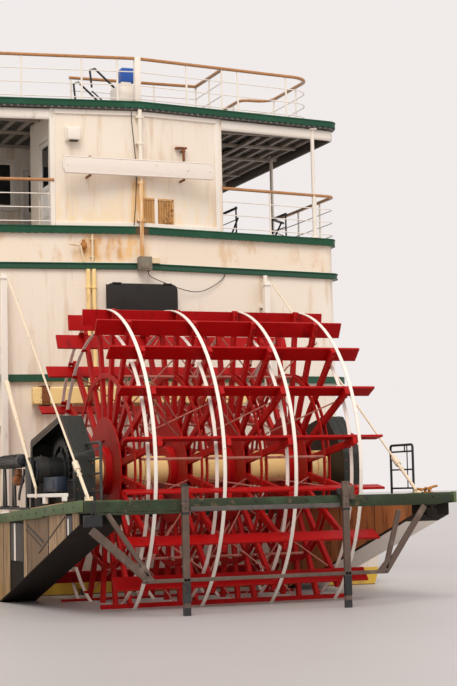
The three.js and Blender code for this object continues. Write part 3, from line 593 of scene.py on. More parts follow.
# stained places: across, up, colour, strength and width of the soft side
houseStains = [
    ((-1.4, 1.3), (4.2, 5.15), (0.90, 0.68, 0.38), 0.55, 0.45),
    ((-0.12, 0.10), (4.55, 5.1), (0.80, 0.48, 0.16), 0.8, 0.05),
]
pipeStains = [
    ((-0.2, 0.2), (4.05, 5.20), (0.82, 0.46, 0.13), 0.85, 0.06),
    ((-0.2, 0.2), (4.1, 4.66), (0.50, 0.20, 0.04), 0.6, 0.06),
]
bandStains = [((-0.075, 0.10), (4.0, 4.62), (0.15, 0.065, 0.02), 0.95, 0.03)]
beltStains = [
    ((-0.85, 0.18), (4.0, 4.6), (0.86, 0.52, 0.17), 0.75, 0.22),
    ((-0.62, -0.16), (4.16, 4.46), (0.55, 0.22, 0.04), 0.6, 0.06),
]
# fresh colour, faded colour, dirt and rust, and then how the paint has aged
paints = {
    "wall": ((0.86, 0.765, 0.645), (0.88, 0.82, 0.735), (0.66, 0.48, 0.31), (0.60, 0.27, 0.07), dict(
        fade=0.55, fadeScale=0.7, run=0.42, runLength=1.1, runFine=9.0, chip=0.03, rustRun=0.36, bump=0.08,
        rough=(0.45, 0.65), grime=0.5, stains=houseStains,
    )),
    "beltWall": ((0.87, 0.745, 0.60), (0.88, 0.80, 0.70), (0.70, 0.45, 0.22), (0.66, 0.30, 0.06), dict(
        fadeScale=0.7, run=0.42, runLength=0.3, runFine=7.0, chip=0.05, rustRun=0.5, bump=0.08,
        rough=(0.45, 0.65), seed=2.0, stains=beltStains,
    )),
    # armShade is near black, painted shade for the wheel arms' undersides; the stern roller wears it too
    "armShade": (
        (0.016, 0.012, 0.009), (0.032, 0.024, 0.018), (0.008, 0.006, 0.004), (0.05, 0.02, 0.008),
        dict(run=0.4, bump=0.2, rough=(0.7, 0.9), spec=0.15),
    ),
    "trimWhite": ((0.87, 0.80, 0.71), (0.90, 0.86, 0.80), (0.5, 0.42, 0.32), (0.42, 0.2, 0.08), dict(
        run=0.25, runLength=0.3, chip=0.05, rustRun=0.14, bump=0.08, rough=(0.35, 0.5)
    )),
    "hoopWhite": ((0.86, 0.80, 0.72), (0.80, 0.71, 0.60), (0.55, 0.42, 0.30), (0.45, 0.12, 0.05), dict(
        fade=0.4, fadeScale=3.0, runFine=24, runLength=0.25, chip=0.07, chipScale=30, wear=0.5,
        wearColor=(0.52, 0.16, 0.08), bump=0.1, rough=(0.35, 0.55),
    )),
    "cream": ((0.95, 0.70, 0.30), (0.95, 0.78, 0.44), (0.60, 0.33, 0.11), (0.42, 0.13, 0.04), dict(
        fadeScale=2.2, run=0.28, runLength=0.35, chipScale=22, rustRun=0.4, rough=(0.38, 0.6)
    )),
    "centrePipe": ((0.88, 0.80, 0.68), (0.90, 0.85, 0.77), (0.6, 0.4, 0.2), (0.45, 0.15, 0.05), dict(
        fadeScale=2.2, runLength=0.35, chip=0.08, bump=0.1, rough=(0.38, 0.6), stains=pipeStains
    )),
    "wheelRed": (
        (0.38, 0.0004, 0.0012), (0.50, 0.003, 0.005), (0.12, 0.0006, 0.0010), (0.08, 0.006, 0.004),
        dict(
            fadeScale=1.6, runLength=0.5, runFine=10, chip=0.05, chipScale=26, wear=0.75,
            wearColor=(0.68, 0.10, 0.06), bump=0.1, rough=(0.45, 0.62), spec=0.18,
        ),
    ),
    "armRed": (
        (0.40, 0.002, 0.003), (0.56, 0.014, 0.010), (0.13, 0.001, 0.0015), (0.16, 0.016, 0.008),
        dict(
            fadeScale=2.6, run=0.26, runLength=0.4, chip=0.06, chipScale=30, wear=0.6,
            wearColor=(0.62, 0.16, 0.09), bump=0.1, rough=(0.45, 0.62), spec=0.2,
        ),
    ),
    "trimGreen": (
        (0.006, 0.068, 0.030), (0.014, 0.100, 0.052), (0.006, 0.024, 0.013), (0.14, 0.08, 0.035),
        dict(
            fadeScale=2.0, run=0.2, runLength=0.15, chip=0.04, wear=0.3, wearColor=(0.06, 0.13, 0.08),
            bump=0.08, rough=(0.4, 0.58), spec=0.3, stains=bandStains,
        ),
    ),
    "oldGreen": (
        (0.020, 0.032, 0.012), (0.040, 0.082, 0.036), (0.022, 0.020, 0.010), (0.10, 0.065, 0.03),
        dict(
            fadeScale=3.5, runLength=0.12, runFine=9, chip=0.2, chipScale=16, wear=0.8,
            wearColor=(0.14, 0.12, 0.07), bump=0.3, rough=(0.6, 0.85),
        ),
    ),
    "greySteel": (
        (0.085, 0.072, 0.066), (0.15, 0.125, 0.11), (0.05, 0.036, 0.028), (0.14, 0.055, 0.022),
        dict(
            fadeScale=4, run=0.35, runLength=0.25, chip=0.16, chipScale=24, rustRun=0.25, wear=0.5,
            wearColor=(0.2, 0.17, 0.15), bump=0.18, rough=(0.5, 0.75),
        ),
    ),
    "blackIron": (
        (0.016, 0.017, 0.018), (0.035, 0.036, 0.036), (0.01, 0.009, 0.008), (0.09, 0.035, 0.014),
        dict(
            fadeScale=5, run=0.25, runLength=0.2, chip=0.08, wear=0.6, wearColor=(0.10, 0.09, 0.08),
            bump=0.15, rough=(0.36, 0.62),
        ),
    ),
    "rustPlate": (
        (0.19, 0.115, 0.060), (0.30, 0.205, 0.125), (0.085, 0.052, 0.03), (0.15, 0.05, 0.018),
        dict(
            fadeScale=2.4, run=0.55, runFine=16, runLength=0.5, chip=0.2, chipScale=18, rustRun=0.5,
            bump=0.25, rough=(0.6, 0.85), grime=0.8,
        ),
    ),
    "rust": (
        (0.22, 0.075, 0.022), (0.36, 0.16, 0.06), (0.10, 0.035, 0.012), (0.07, 0.024, 0.01),
        dict(fadeScale=8, runLength=0.2, chip=0.3, chipScale=40, bump=0.3, rough=(0.7, 0.92)),
    ),
    "blue": (
        (0.02, 0.10, 0.42), (0.04, 0.16, 0.5), (0.015, 0.05, 0.2), (0.2, 0.2, 0.2),
        dict(chip=0.03, bump=0.05, rough=(0.4, 0.55)),
    ),
    "rodPink": ((0.46, 0.17, 0.13), (0.62, 0.33, 0.27), (0.10, 0.02, 0.015), (0.09, 0.02, 0.012), dict(
        fadeScale=9, run=0.4, runLength=0.1, chip=0.25, chipScale=30, bump=0.1, spec=0.2
    )),
    # headerShade is painted shade for the starboard side header under the top deck
    "headerShade": (
        (0.10, 0.088, 0.076), (0.17, 0.15, 0.13), (0.05, 0.04, 0.03), (0.2, 0.1, 0.05), dict(bump=0.1)
    ),
    # rafterShade is painted shade: the white rafters darkened where they sit under the top deck
    "rafterShade": (
        (0.36, 0.31, 0.26), (0.46, 0.41, 0.35), (0.16, 0.12, 0.09), (0.2, 0.1, 0.05), dict(bump=0.1)
    ),
    "louvre": ((0.62, 0.35, 0.13), (0.76, 0.55, 0.29), (0.36, 0.16, 0.05), (0.16, 0.055, 0.015), dict(
        fadeScale=5, run=0.45, runFine=30, runLength=0.3, chip=0.3, chipScale=30, rustRun=0.5, bump=0.2,
        rough=(0.55, 0.8),
    )),
    "board": ((0.84, 0.76, 0.68), (0.88, 0.81, 0.74), (0.6, 0.48, 0.36), (0.4, 0.2, 0.1), dict(
        fadeScale=2.0, run=0.22, runLength=0.08, chip=0.05, bump=0.06, rough=(0.36, 0.5)
    )),
    "flapDark": (
        (0.022, 0.019, 0.017), (0.040, 0.034, 0.030), (0.012, 0.010, 0.009), (0.07, 0.035, 0.018),
        dict(
            fade=0.45, fadeScale=3, runLength=0.2, chip=0.05, wear=0.4, wearColor=(0.10, 0.08, 0.06),
            bump=0.1, rough=(0.55, 0.75), spec=0.25,
        ),
    ),
    "guardGrey": (
        (0.098, 0.064, 0.048), (0.19, 0.135, 0.100), (0.045, 0.034, 0.026), (0.15, 0.06, 0.03),
        dict(
            fadeScale=6, run=0.4, runLength=0.3, runFine=26, chip=0.14, chipScale=30, rustRun=0.25,
            wear=0.5, wearColor=(0.25, 0.21, 0.18), bump=0.15, rough=(0.5, 0.72),
        ),
    ),
    "armGreen": ((0.085, 0.125, 0.050), (0.16, 0.20, 0.10), (0.04, 0.045, 0.02), (0.14, 0.085, 0.04), dict(
        fade=0.55, fadeScale=2.2, run=0.4, runLength=0.15, runFine=12, chip=0.22, chipScale=18, wear=0.8,
        wearColor=(0.25, 0.22, 0.12), bump=0.3, rough=(0.6, 0.85),
    )),
    "tanPlate": ((0.36, 0.235, 0.125), (0.46, 0.32, 0.19), (0.16, 0.085, 0.035), (0.22, 0.08, 0.025), dict(
        fadeScale=2.4, run=0.55, runFine=22, runLength=0.4, chip=0.12, chipScale=20, rustRun=0.4, bump=0.2,
        rough=(0.6, 0.85), grime=0.7,
    )),
    "orangePlate": (
        (0.50, 0.205, 0.068), (0.62, 0.33, 0.14), (0.19, 0.065, 0.022), (0.44, 0.12, 0.02),
        dict(
            fadeScale=2.2, run=0.55, runFine=13, runLength=0.5, chip=0.14, chipScale=18, rustRun=0.55,
            bump=0.2, rough=(0.6, 0.85), grime=0.7,
        ),
    ),
    "pinkBoard": (
        (0.62, 0.36, 0.20), (0.70, 0.47, 0.30), (0.35, 0.18, 0.06), (0.3, 0.1, 0.03),
        dict(fadeScale=4, bump=0.1),
    ),
    "orangeRust": ((0.42, 0.17, 0.035), (0.62, 0.33, 0.10), (0.2, 0.07, 0.02), (0.2, 0.06, 0.015), dict(
        fadeScale=14, runLength=0.1, chip=0.2, chipScale=60, bump=0.3, rough=(0.6, 0.85)
    )),
    "caseGreen": (
        (0.015, 0.017, 0.013), (0.034, 0.037, 0.028), (0.009, 0.008, 0.006), (0.12, 0.07, 0.035),
        dict(
            fadeScale=3, run=0.4, runLength=0.3, chip=0.12, rustRun=0.25, wear=0.5,
            wearColor=(0.09, 0.08, 0.06), bump=0.2, rough=(0.42, 0.66),
        ),
    ),
    "bearingGrey": (
        (0.024, 0.023, 0.020), (0.050, 0.048, 0.041), (0.018, 0.015, 0.012), (0.10, 0.05, 0.02),
        dict(
            fadeScale=5, run=0.45, runLength=0.12, runFine=30, chip=0.14, wear=0.7,
            wearColor=(0.16, 0.14, 0.12), bump=0.2, rough=(0.4, 0.62),
        ),
    ),
    "motorBlue": (
        (0.011, 0.013, 0.017), (0.024, 0.028, 0.033), (0.016, 0.015, 0.014), (0.10, 0.045, 0.02),
        dict(
            fadeScale=4, runLength=0.15, chip=0.08, wear=0.5, wearColor=(0.12, 0.12, 0.12),
            rough=(0.34, 0.55),
        ),
    ),
    "netBlue": (
        (0.012, 0.022, 0.040), (0.022, 0.036, 0.060), (0.008, 0.010, 0.012), (0.05, 0.03, 0.02),
        dict(fadeScale=6, chip=0.05, bump=0.1, rough=(0.4, 0.6)),
    ),
    "pipeGrey": ((0.045, 0.047, 0.044), (0.10, 0.10, 0.09), (0.02, 0.018, 0.015), (0.10, 0.05, 0.02), dict(
        fadeScale=6, run=0.2, runLength=0.1, wear=0.5, wearColor=(0.16, 0.15, 0.13), bump=0.1,
        rough=(0.4, 0.6),
    )),
    "creamRod": ((0.80, 0.68, 0.50), (0.84, 0.76, 0.64), (0.5, 0.3, 0.12), (0.42, 0.16, 0.05), dict(
        fadeScale=5, run=0.35, runFine=30, runLength=0.2, chip=0.14, chipScale=40, rustRun=0.3, bump=0.1,
        rough=(0.4, 0.6),
    )),
    "lampGrey": ((0.20, 0.175, 0.13), (0.33, 0.29, 0.21), (0.12, 0.08, 0.04), (0.26, 0.10, 0.03), dict(
        fadeScale=9, run=0.4, runFine=30, runLength=0.08, chip=0.2, chipScale=50, wear=0.6, bump=0.2,
        rough=(0.45, 0.7),
    )),
    "creamPipe": ((0.80, 0.66, 0.42), (0.84, 0.74, 0.56), (0.5, 0.3, 0.12), (0.42, 0.16, 0.05), dict(
        fadeScale=5, run=0.35, runFine=30, runLength=0.2, chip=0.14, chipScale=40, rustRun=0.3, bump=0.1,
        rough=(0.4, 0.6),
    )),
    "brass": ((0.42, 0.27, 0.10), (0.52, 0.36, 0.16), (0.16, 0.09, 0.03), (0.2, 0.1, 0.04), dict(
        fadeScale=20, run=0.1, chip=0.05, bump=0.05, rough=(0.28, 0.45), metal=0.85
    )),
    "leafWhite": (
        (0.80, 0.74, 0.67), (0.84, 0.80, 0.74), (0.45, 0.38, 0.30), (0.4, 0.2, 0.1),
        dict(run=0.2, runLength=0.3, chip=0.04, bump=0.06, rough=(0.36, 0.5)),
    ),
}
finishes = {name: paint(name, *tones, **aging) for name, (*tones, aging) in paints.items()}


def woodFinish(name, dark, pale, across, scale):
    # varnished wood, with its grain along the axis that is stretched least
    finish, tree, shader = newMaterial(name)
    lines = useGroup(tree, grain, AcrossX=across[0], AcrossY=across[1], AcrossZ=across[2], Scale=scale)
    soft = patchy(tree, 1.7, soft=0.35)
    tone = blend(tree, lines["Tone"], dark, pale)
    tone = blend(tree, times(tree, soft, 0.35), tone, shade(dark, 0.55))
    rough = ramped(tree, lines["Height"], 0.3, 0.7, 0.25, 0.42)
    bumped = bumpFrom(tree, lines["Height"], 0.06, 0.003)
    feed(tree, shader, {
        "Base Color": tone, "Roughness": rough, "Normal": bumped, "Coat Weight": 0.4, "Coat Roughness": 0.22
    })
    return finish


finishes["railWood"] = woodFinish(
    "varnishedRail", (0.34, 0.135, 0.036), (0.55, 0.26, 0.085), across=(0.3, 0.3, 1), scale=40
)
finishes["doorWood"] = woodFinish(
    "varnishedDoor", (0.26, 0.10, 0.03), (0.42, 0.19, 0.07), across=(1, 1, 0.06), scale=45
)


def seams(tree, count, start, full):
    # dark lines halfway between whole numbers of count
    fromMiddle = maths(tree, "ABSOLUTE", maths(tree, "SUBTRACT", maths(tree, "FRACT", count), 0.5))
    return ramped(tree, fromMiddle, start, full)


def deckFinish(name, side, under, upper, lip=0.0):
    # the deck's coloured edge, its painted top laid in planks and its boarded ceiling
    finish, tree, shader = newMaterial(name)
    normal = put(tree, "SeparateXYZ", {0: put(tree, "NewGeometry").outputs["Normal"]}).outputs[2]
    here = objectAxes(tree)
    plank = maths(tree, "DIVIDE", here[0], 0.12)
    seam = seams(tree, plank, 0.46, 0.49)
    tint = put(
        tree, "TexWhiteNoise", {"W": maths(tree, "FLOOR", plank)}, noise_dimensions="1D"
    ).outputs["Value"]
    worn = patchy(tree, 1.2)
    boards = blend(tree, times(tree, tint, 0.35), upper, shade(upper, 0.6))
    boards = blend(tree, times(tree, worn, 0.5), boards, shade(upper, 1.35))
    boards = blend(tree, times(tree, seam, 0.75), boards, shade(upper, 0.2))
    edge = blend(tree, patchy(tree, 2.0, seed=2.0), side, shade(side, 1.6))
    runs = streaky(tree, 12.0, 0.1, 0.3)
    edge = blend(tree, times(tree, runs, 0.5), edge, shade(side, 0.5))
    if lip:
        # the lowest part of the edge, in shade below the fascia, with pale marks
        mark = maths(tree, "FRACT", maths(tree, "DIVIDE", here[0], 0.075))
        shaded = blend(tree, ramped(tree, mark, 0.68, 0.74), (0.055, 0.050, 0.044), (0.24, 0.215, 0.19))
        edge = blend(tree, ramped(tree, here[2], lip - 0.002, lip + 0.002), shaded, edge)
    ceiling = blend(tree, times(tree, worn, 0.6), under, shade(under, 0.7))
    tone = blend(tree, ramped(tree, normal, 0.3, 0.5), edge, boards)
    tone = blend(tree, ramped(tree, normal, -0.3, -0.5), tone, ceiling)
    bumped = bumpFrom(tree, maths(tree, "SUBTRACT", 1.0, seam), 0.3)
    feed(tree, shader, {
        "Base Color": tone, "Roughness": ramped(tree, worn, 0, 1, 0.45, 0.68), "Normal": bumped
    })
    return finish


deckGreen = (0.006, 0.066, 0.030)
finishes["deck"] = deckFinish("deckPaint", deckGreen, (0.26, 0.22, 0.19), (0.19, 0.20, 0.19))
finishes["mainDeck"] = deckFinish("mainDeckPaint", deckGreen, (0.2, 0.17, 0.14), (0.16, 0.15, 0.13))
# the top deck's ceiling is dark planking made darker still with painted shade under the top deck
finishes["topDeck"] = deckFinish(
    "topDeckPaint", deckGreen, (0.085, 0.074, 0.063), (0.22, 0.23, 0.22), lip=5.900
)


def hullFinish(name, low, high):
    # white topsides over a yellow band at the waterline and dark bottom paint, with plate seams
    finish, tree, shader = newMaterial(name)
    here = objectAxes(tree)
    white = blend(tree, patchy(tree, 0.9), (0.70, 0.62, 0.54), (0.62, 0.50, 0.38))
    yellow = blend(tree, patchy(tree, 2.4), (0.62, 0.40, 0.04), (0.45, 0.26, 0.05))
    bottom = blend(tree, patchy(tree, 2.0), (0.09, 0.045, 0.03), (0.05, 0.04, 0.03))
    wobble = times(
        tree, put(tree, "TexNoise", {"Vector": objectPoint(tree), "Scale": 3.0}).outputs["Fac"], 0.012
    )
    z = maths(tree, "ADD", here[2], wobble)
    tone = blend(tree, ramped(tree, z, low, low + 0.008), bottom, yellow)
    tone = blend(tree, ramped(tree, z, high, high + 0.006), tone, white)
    runs = streaky(tree, 7.0, 0.9, 0.42)
    tone = blend(tree, times(tree, runs, 0.5), tone, (0.30, 0.17, 0.08))
    rusty = streaky(tree, 5.0, 1.2, 0.22, 4.0)
    tone = blend(tree, times(tree, rusty, 0.7), tone, (0.26, 0.09, 0.03))
    seam = seams(tree, maths(tree, "DIVIDE", here[1], 1.22), 0.488, 0.497)
    tone = blend(tree, times(tree, seam, 0.5), tone, (0.2, 0.14, 0.1))
    bumped = bumpFrom(tree, maths(tree, "SUBTRACT", 1.0, seam), 0.35)
    feed(tree, shader, {"Base Color": tone, "Roughness": 0.55, "Normal": bumped})
    return finish


finishes["hull"] = hullFinish("hullPaint", 0.50, 0.685)


def glassFinish():
    finish, tree, shader = newMaterial("windowGlass")
    smear = patchy(tree, 3.0, soft=0.4)
    tone = blend(tree, smear, (0.012, 0.014, 0.016), (0.035, 0.038, 0.040))
    feed(tree, shader, {
        "Base Color": tone, "Roughness": ramped(tree, smear, 0, 1, 0.05, 0.16), "Specular IOR Level": 0.8
    })
    return finish


finishes["glass"] = glassFinish()
print("finishes mixed:", len(finishes))


def cadObject(node):
    thing = frame["nodes"][node]
    return bpy.data.objects[thing] if isinstance(thing, str) else thing


# what the CAD nodes wear where they show; the rest are walls
cadFinish = {
    "hull": "hull", "main_deck": "mainDeck", "wheel_arm_port": "armShade",
    "wheel_arm_starboard": "armShade", "belt": "beltWall",
    "second_deck": "deck", "upper_ceiling": "deck", "third_deck": "deck", "top_deck": "topDeck",
    "pilothouse_roof": "topDeck", "companion_stair": "greySteel", "lower_stair": "greySteel",
    "rudder_port": "greySteel", "rudder_starboard": "greySteel",
}
for node in frame["nodes"]:
    thing = cadObject(node)
    finish = finishes[cadFinish.get(node, "wall")]
    if not thing.material_slots:
        thing.data.materials.append(finish)
    for held in thing.material_slots:
        held.material = finish


# Cable of the stern lamp, which hangs down the belt and goes back into the deck edge
lampBox = {"x": (-0.061, 0.097), "z": (4.046, 4.2045), "y": (-8.2508, -8.1567), "radius": 0.0045}
cableSag = [
    (0, -0.3), (0, -16), (3, -33), (12, -49), (28, -62), (52, -73), (120, -96), (200, -121),
    (290, -147), (380, -171), (460, -189), (530, -201), (590, -207), (650, -205), (710, -194),
    (770, -174), (830, -147), (885, -117), (935, -86), (975, -56), (1004, -28), (1022, 0), (1026, 14),
    (1026, 20.5),
]


def lampCable():
    # stations along the wall and down, in millimetres, through a smooth curve
    start = Vector((0.060, stern["apexY"] - 0.0733, 4.045))
    way = (Vector((1.066, bulkheadY(1.066, 0.0125))) - start.xy).normalized()
    knots = [
        Vector((start.x + way.x * s / 1000, start.y + way.y * s / 1000, start.z + z / 1000))
        for s, z in cableSag
    ]
    route = []
    for i in range(len(knots) - 1):
        a, b, c, d = (knots[max(0, min(len(knots) - 1, k))] for k in (i - 1, i, i + 1, i + 2))
        for t in (0, 0.25, 0.5, 0.75):
            bend = (2 * b) + (c - a) * t + (2 * a - 5 * b + 4 * c - d) * t * t
            route.append(0.5 * (bend + (3 * b - a - 3 * c + d) * t ** 3))
    route.append(knots[-1])
    route[0] = Vector((start.x, start.y, lampBox["z"][0] - 0.0012))
    cord = piece("lampCable", [pipes([route], lampBox["radius"], 10)], "blackIron", ["lamp_cable"])


lampCable()

# Paddle wheel
wheel = {
    "boards": 20, "firstDeg": -9.65, "half": 1.29, "boardIn": 1.44, "boardOut": 1.6, "boardThick": 0.022,
    "boardStep": 0.0473,
    "frames": (-0.98, -0.308, 0.308, 0.98), "armWide": 0.066, "armThick": 0.042, "armTip": 1.612,
    "hoopX": (-1.029, -0.357, 0.357, 1.029), "hoopWide": 0.035,
    "outerHoop": (1.596, 1.6065), "innerHoop": (1.392, 1.402), "lugs": ((1.585, 1.595), (1.382, 1.3915)),
    "boardBolts": (1.478, 1.562), "armBolts": (0.40, 0.475, 0.944), "braces": (0.56, 1.37),
    "collars": (-0.644, 0.0, 0.644), "teeth": 34,
    "ring": 0.944, "hub": 0.5, "shaft": 0.139, "sprocketX": 1.444,
}
axle = (0.0, stern["axleY"], stern["axleZ"])


def spoke(k):
    # the frame of arm k: z out along the arm, y towards its board, x across the boat
    turn = wheel["firstDeg"] + 360 / wheel["boards"] * k + math.degrees(
        wheel["boardStep"] / wheel["boardOut"]
    )
    return at(*axle) @ turnX(turn)


def wheelBoards():
    random.seed(11)
    bm = bmesh.new()
    board = box(
        (-wheel["half"], 0.0363, wheel["boardIn"]),
        (wheel["half"], 0.0363 + wheel["boardThick"], wheel["boardOut"]), 0.0025,
    )
    for k in range(wheel["boards"]):
        slide = at(random.uniform(-0.006, 0.006), 0, random.uniform(-0.003, 0.0))
        stamp(bm, board, spoke(k) @ slide)
    bpy.data.meshes.remove(board)
    piece("wheelBoards", [meshFrom(bm)], "wheelRed", ["wheel_buckets"], body="paddle_wheel")


def wheelBolts():
    # clips, bolt heads and nuts that hold each board on its arm
    bm = bmesh.new()
    head = rod((0, 0, 0), (0, 0.012, 0), 0.011, 6)
    nut = rod((0, 0, 0), (0, 0.016, 0), 0.012, 6)
    clip = box((-0.030, 0, -0.016), (0.030, 0.006, 0.016), 0.0015)
    for k in range(wheel["boards"]):
        for x in wheel["frames"]:
            for r in wheel["boardBolts"]:
                stamp(bm, clip, spoke(k) @ at(x, 0.0583, r))
                stamp(bm, head, spoke(k) @ at(x, 0.0643, r))
                stamp(bm, nut, spoke(k) @ at(x, -0.049, r))
    piece("boardBolts", [meshFrom(bm)], "armRed", body="paddle_wheel")


def wheelArms(index, x):
    half = wheel["armThick"] / 2
    parts = []
    bm = bmesh.new()
    arm = box(
        (x - half, -wheel["armWide"] / 2, wheel["hub"] - 0.17),
        (x + half, wheel["armWide"] / 2, wheel["armTip"]), 0.004,
    )
    bolt = rod((x - half - 0.013, 0, 0), (x + half + 0.013, 0, 0), 0.012, 6)
    for k in range(wheel["boards"]):
        stamp(bm, arm, spoke(k))
        for r in wheel["armBolts"]:
            stamp(bm, bolt, spoke(k) @ at(0, 0, r))
    parts.append(meshFrom(bm))
    # the plates that clamp the arms at the hub, and the boss between them
    for side in (-1, 1):
        face = x + side * (half + 0.007)
        parts.append(hoop(face - 0.007, face + 0.007, 0.30, wheel["hub"] + 0.03, axle, 0.003, 72))
    parts.append(hoop(x - 0.085, x + 0.085, wheel["shaft"] + 0.004, 0.235, axle, 0.012, 56))
    parts.append(hoop(x - 0.02, x + 0.02, 0.22, 0.335, axle, 0.004, 56))
    # the middle ring, a flat bar on each face of the arms
    for side in (-1, 1):
        face = x + side * (half + 0.005)
        parts.append(
            hoop(face - 0.005, face + 0.005, wheel["ring"] - 0.026, wheel["ring"] + 0.026, axle, 0.0015, 96)
        )
    piece(f"wheelFrame{index}", parts, "armRed", [f"wheel_frame_{index}"], body="paddle_wheel")


def wheelBraces():
    # crossed truss rods between the frames, from hub to rim, and cross bars on the middle ring
    parts = []
    frames, (low, high) = wheel["frames"], wheel["braces"]
    for k in range(0, wheel["boards"], 2):
        for j in range(3):
            for near, far in ((j, j + 1), (j + 1, j)):
                x0, x1 = frames[near], frames[far]
                way = far - near
                start = spoke(k) @ Vector((x0 + way * 0.026, way * 0.012, low))
                end = spoke(k) @ Vector((x1 - way * 0.026, way * 0.012, high))
                parts.append(rod(start, end, 0.0075, 6))
    for k in range(1, wheel["boards"], 4):
        for j in range(3):
            start = spoke(k) @ Vector((frames[j] + 0.02, -0.042, wheel["ring"]))
            end = spoke(k) @ Vector((frames[j + 1] - 0.02, -0.042, wheel["ring"]))
            parts.append(rod(start, end, 0.013, 8))
    piece("wheelBraces", parts, "rodPink", body="paddle_wheel")


def wheelHoops():
    parts = []
    for x in wheel["hoopX"]:
        for inner, outer in (wheel["outerHoop"], wheel["innerHoop"]):
            parts.append(
                hoop(x - wheel["hoopWide"] / 2, x + wheel["hoopWide"] / 2, inner, outer, axle, 0.0025, 160)
            )
    piece("wheelHoops", parts, "hoopWhite", body="paddle_wheel")
    # small brackets carry the hoops off the arm tips
    bm = bmesh.new()
    for k in range(wheel["boards"]):
        for x, frameX in zip(wheel["hoopX"], wheel["frames"]):
            x0, x1 = sorted((frameX, x + math.copysign(0.02, x - frameX)))
            for z0, z1 in wheel["lugs"]:
                lug = box((x0, -0.02, z0), (x1, 0.02, z1), 0.002)
                stamp(bm, lug, spoke(k))
                bpy.data.meshes.remove(lug)
    piece("hoopLugs", [meshFrom(bm)], "armRed", body="paddle_wheel")


def wheelShaft():
    parts = []
    _, y, z = axle
    parts.append(hoop(-1.392, 1.392, 0.05, wheel["shaft"], axle, 0.01, 48))
    for collar in wheel["collars"]:
        for x in (collar - 0.018, collar + 0.018):
            parts.append(hoop(x - 0.014, x + 0.014, 0.12, 0.178, axle, 0.004, 48))
    for side in (-1, 1):
        parts.append(hoop(side * 1.30 - 0.05, side * 1.30 + 0.05, 0.12, 0.172, axle, 0.008, 48))
    bm = bmesh.new()
    bolt = rod((-0.045, 0, 0.158), (0.045, 0, 0.158), 0.010, 6)
    for collar in wheel["collars"]:
        for n in range(10):
            stamp(bm, bolt, at(collar, y, z) @ turnX(36 * n))
    parts.append(meshFrom(bm))
    piece("wheelShaft", parts, "cream", ["wheel_shaft"], body="paddle_wheel")
    # dark ends in the bearings, and toothed sprockets inside the chain cases
    ends = ((-1.745, -1.3925), (1.3925, 1.745))
    parts = [hoop(x0, x1, 0.05, wheel["shaft"], axle, 0.01, 48) for x0, x1 in ends]
    bm = bmesh.new()
    tooth = plate(
        [(-0.02, y, z) for y, z in ((-0.019, 0.305), (0.019, 0.305), (0.008, 0.342), (-0.008, 0.342))],
        0.04, axisX,
    )
    for side in (-1, 1):
        centre = (side * wheel["sprocketX"], y, z)
        x = centre[0]
        for n in range(wheel["teeth"]):
            stamp(bm, tooth, at(*centre) @ turnX(360 * n / wheel["teeth"]))
        parts.append(hoop(x - 0.02, x + 0.02, 0.25, 0.309, axle, 0.003, 68))
        parts.append(hoop(x - 0.027, x + 0.027, 0.135, 0.19, axle, 0.004, 48))
        for n in range(6):
            web = bar((x, y, z + 0.18), (x, y, z + 0.26), 0.05, 0.024, 0.004, deepWay=axisX)
            stamp(bm, web, at(*axle) @ turnX(60 * n) @ at(*(-c for c in axle)))
    parts.append(meshFrom(bm))
    piece("sprockets", parts, "blackIron", body="paddle_wheel")


wheelBoards()
wheelBolts()
for index, x in enumerate(wheel["frames"], 1):
    wheelArms(index, x)
wheelBraces()
wheelHoops()
wheelShaft()
print("paddle wheel built")

# Deck edges, eaves and ceilings
eaves = {"wave": 0.088, "corner": 0.140, "thick": 0.010}
decks = {
    "second": {"half": 2.688, "proud": 0.050, "front": 6.9},
    "ledge": {"half": 2.636, "proud": 0.025, "front": 6.05},
    "third": {"half": 2.606, "proud": 0.025, "front": 6.3},
    "top": {"half": 2.635, "proud": 0.060, "front": 6.4},
}


def deckOutline(name, out):
    deck = decks[name]
    half, front, proud = deck["half"] + out, deck["front"] + out, deck["proud"] + out
    r = eaves["corner"] + out
    return arcCorners([
        (-half, bulkheadY(half, proud), r), (0, bulkheadY(0, proud)), (half, bulkheadY(half, proud), r),
        (half, front, 0.5 + out), (-half, front, 0.5 + out),
    ], 8)


def band(name, deck, out, high, low, wave):
    # a strip round the deck's edge, its lower edge cut in waves of eight steps
    stops = walk(deckOutline(deck, out), eaves["wave"] / 8, closed=True)
    bm = bmesh.new()
    verts = [bm.verts.new((p.x, p.y, high)) for p, _ in stops]
    ring = [bm.edges.new((a, b)) for a, b in zip(verts, verts[1:] + verts[:1])]
    made = bmesh.ops.extrude_edge_only(bm, edges=ring)
    lower = [v for v in made["geom"] if isinstance(v, bmesh.types.BMVert)]
    nearest = {(round(p.x, 4), round(p.y, 4)): k for k, (p, _) in enumerate(stops)}
    for vert in lower:
        k = nearest[(round(vert.co.x, 4), round(vert.co.y, 4))]
        vert.co.z = low + wave * (1 - abs(math.sin(math.pi * k / 8)))
    bmesh.ops.recalc_face_normals(bm, faces=bm.faces[:])
    bmesh.ops.solidify(bm, geom=bm.faces[:], thickness=eaves["thick"])
    piece(name, [meshFrom(bm)], "trimGreen")


def nosing(name, deck, z, radius, out, finish="trimGreen"):
    piece(name, [pipes([lift(deckOutline(deck, out), z)], radius, closed=True)], finish)


def deckEdges():
    band("topDeckFascia", "top", 0.012, 5.974, 5.896, 0.013)
    nosing("topDeckNosing", "top", 5.966, 0.011, 0.008)
    band("thirdDeckFascia", "third", 0.010, 4.552, 4.462, 0.010)
    nosing("thirdDeckNosing", "third", 4.543, 0.010, 0.006)
    nosing("ledgeNosing", "ledge", 4.130, 0.009, 0.003)
    nosing("ledgeFlashing", "ledge", 4.139, 0.006, -0.006, "trimWhite")
    nosing("ledgeDrip", "ledge", 4.072, 0.007, 0.002)
    nosing("secondDeckNosing", "second", 2.884, 0.009, -0.008)
    nosing("secondDeckDrip", "second", 2.820, 0.008, -0.007)


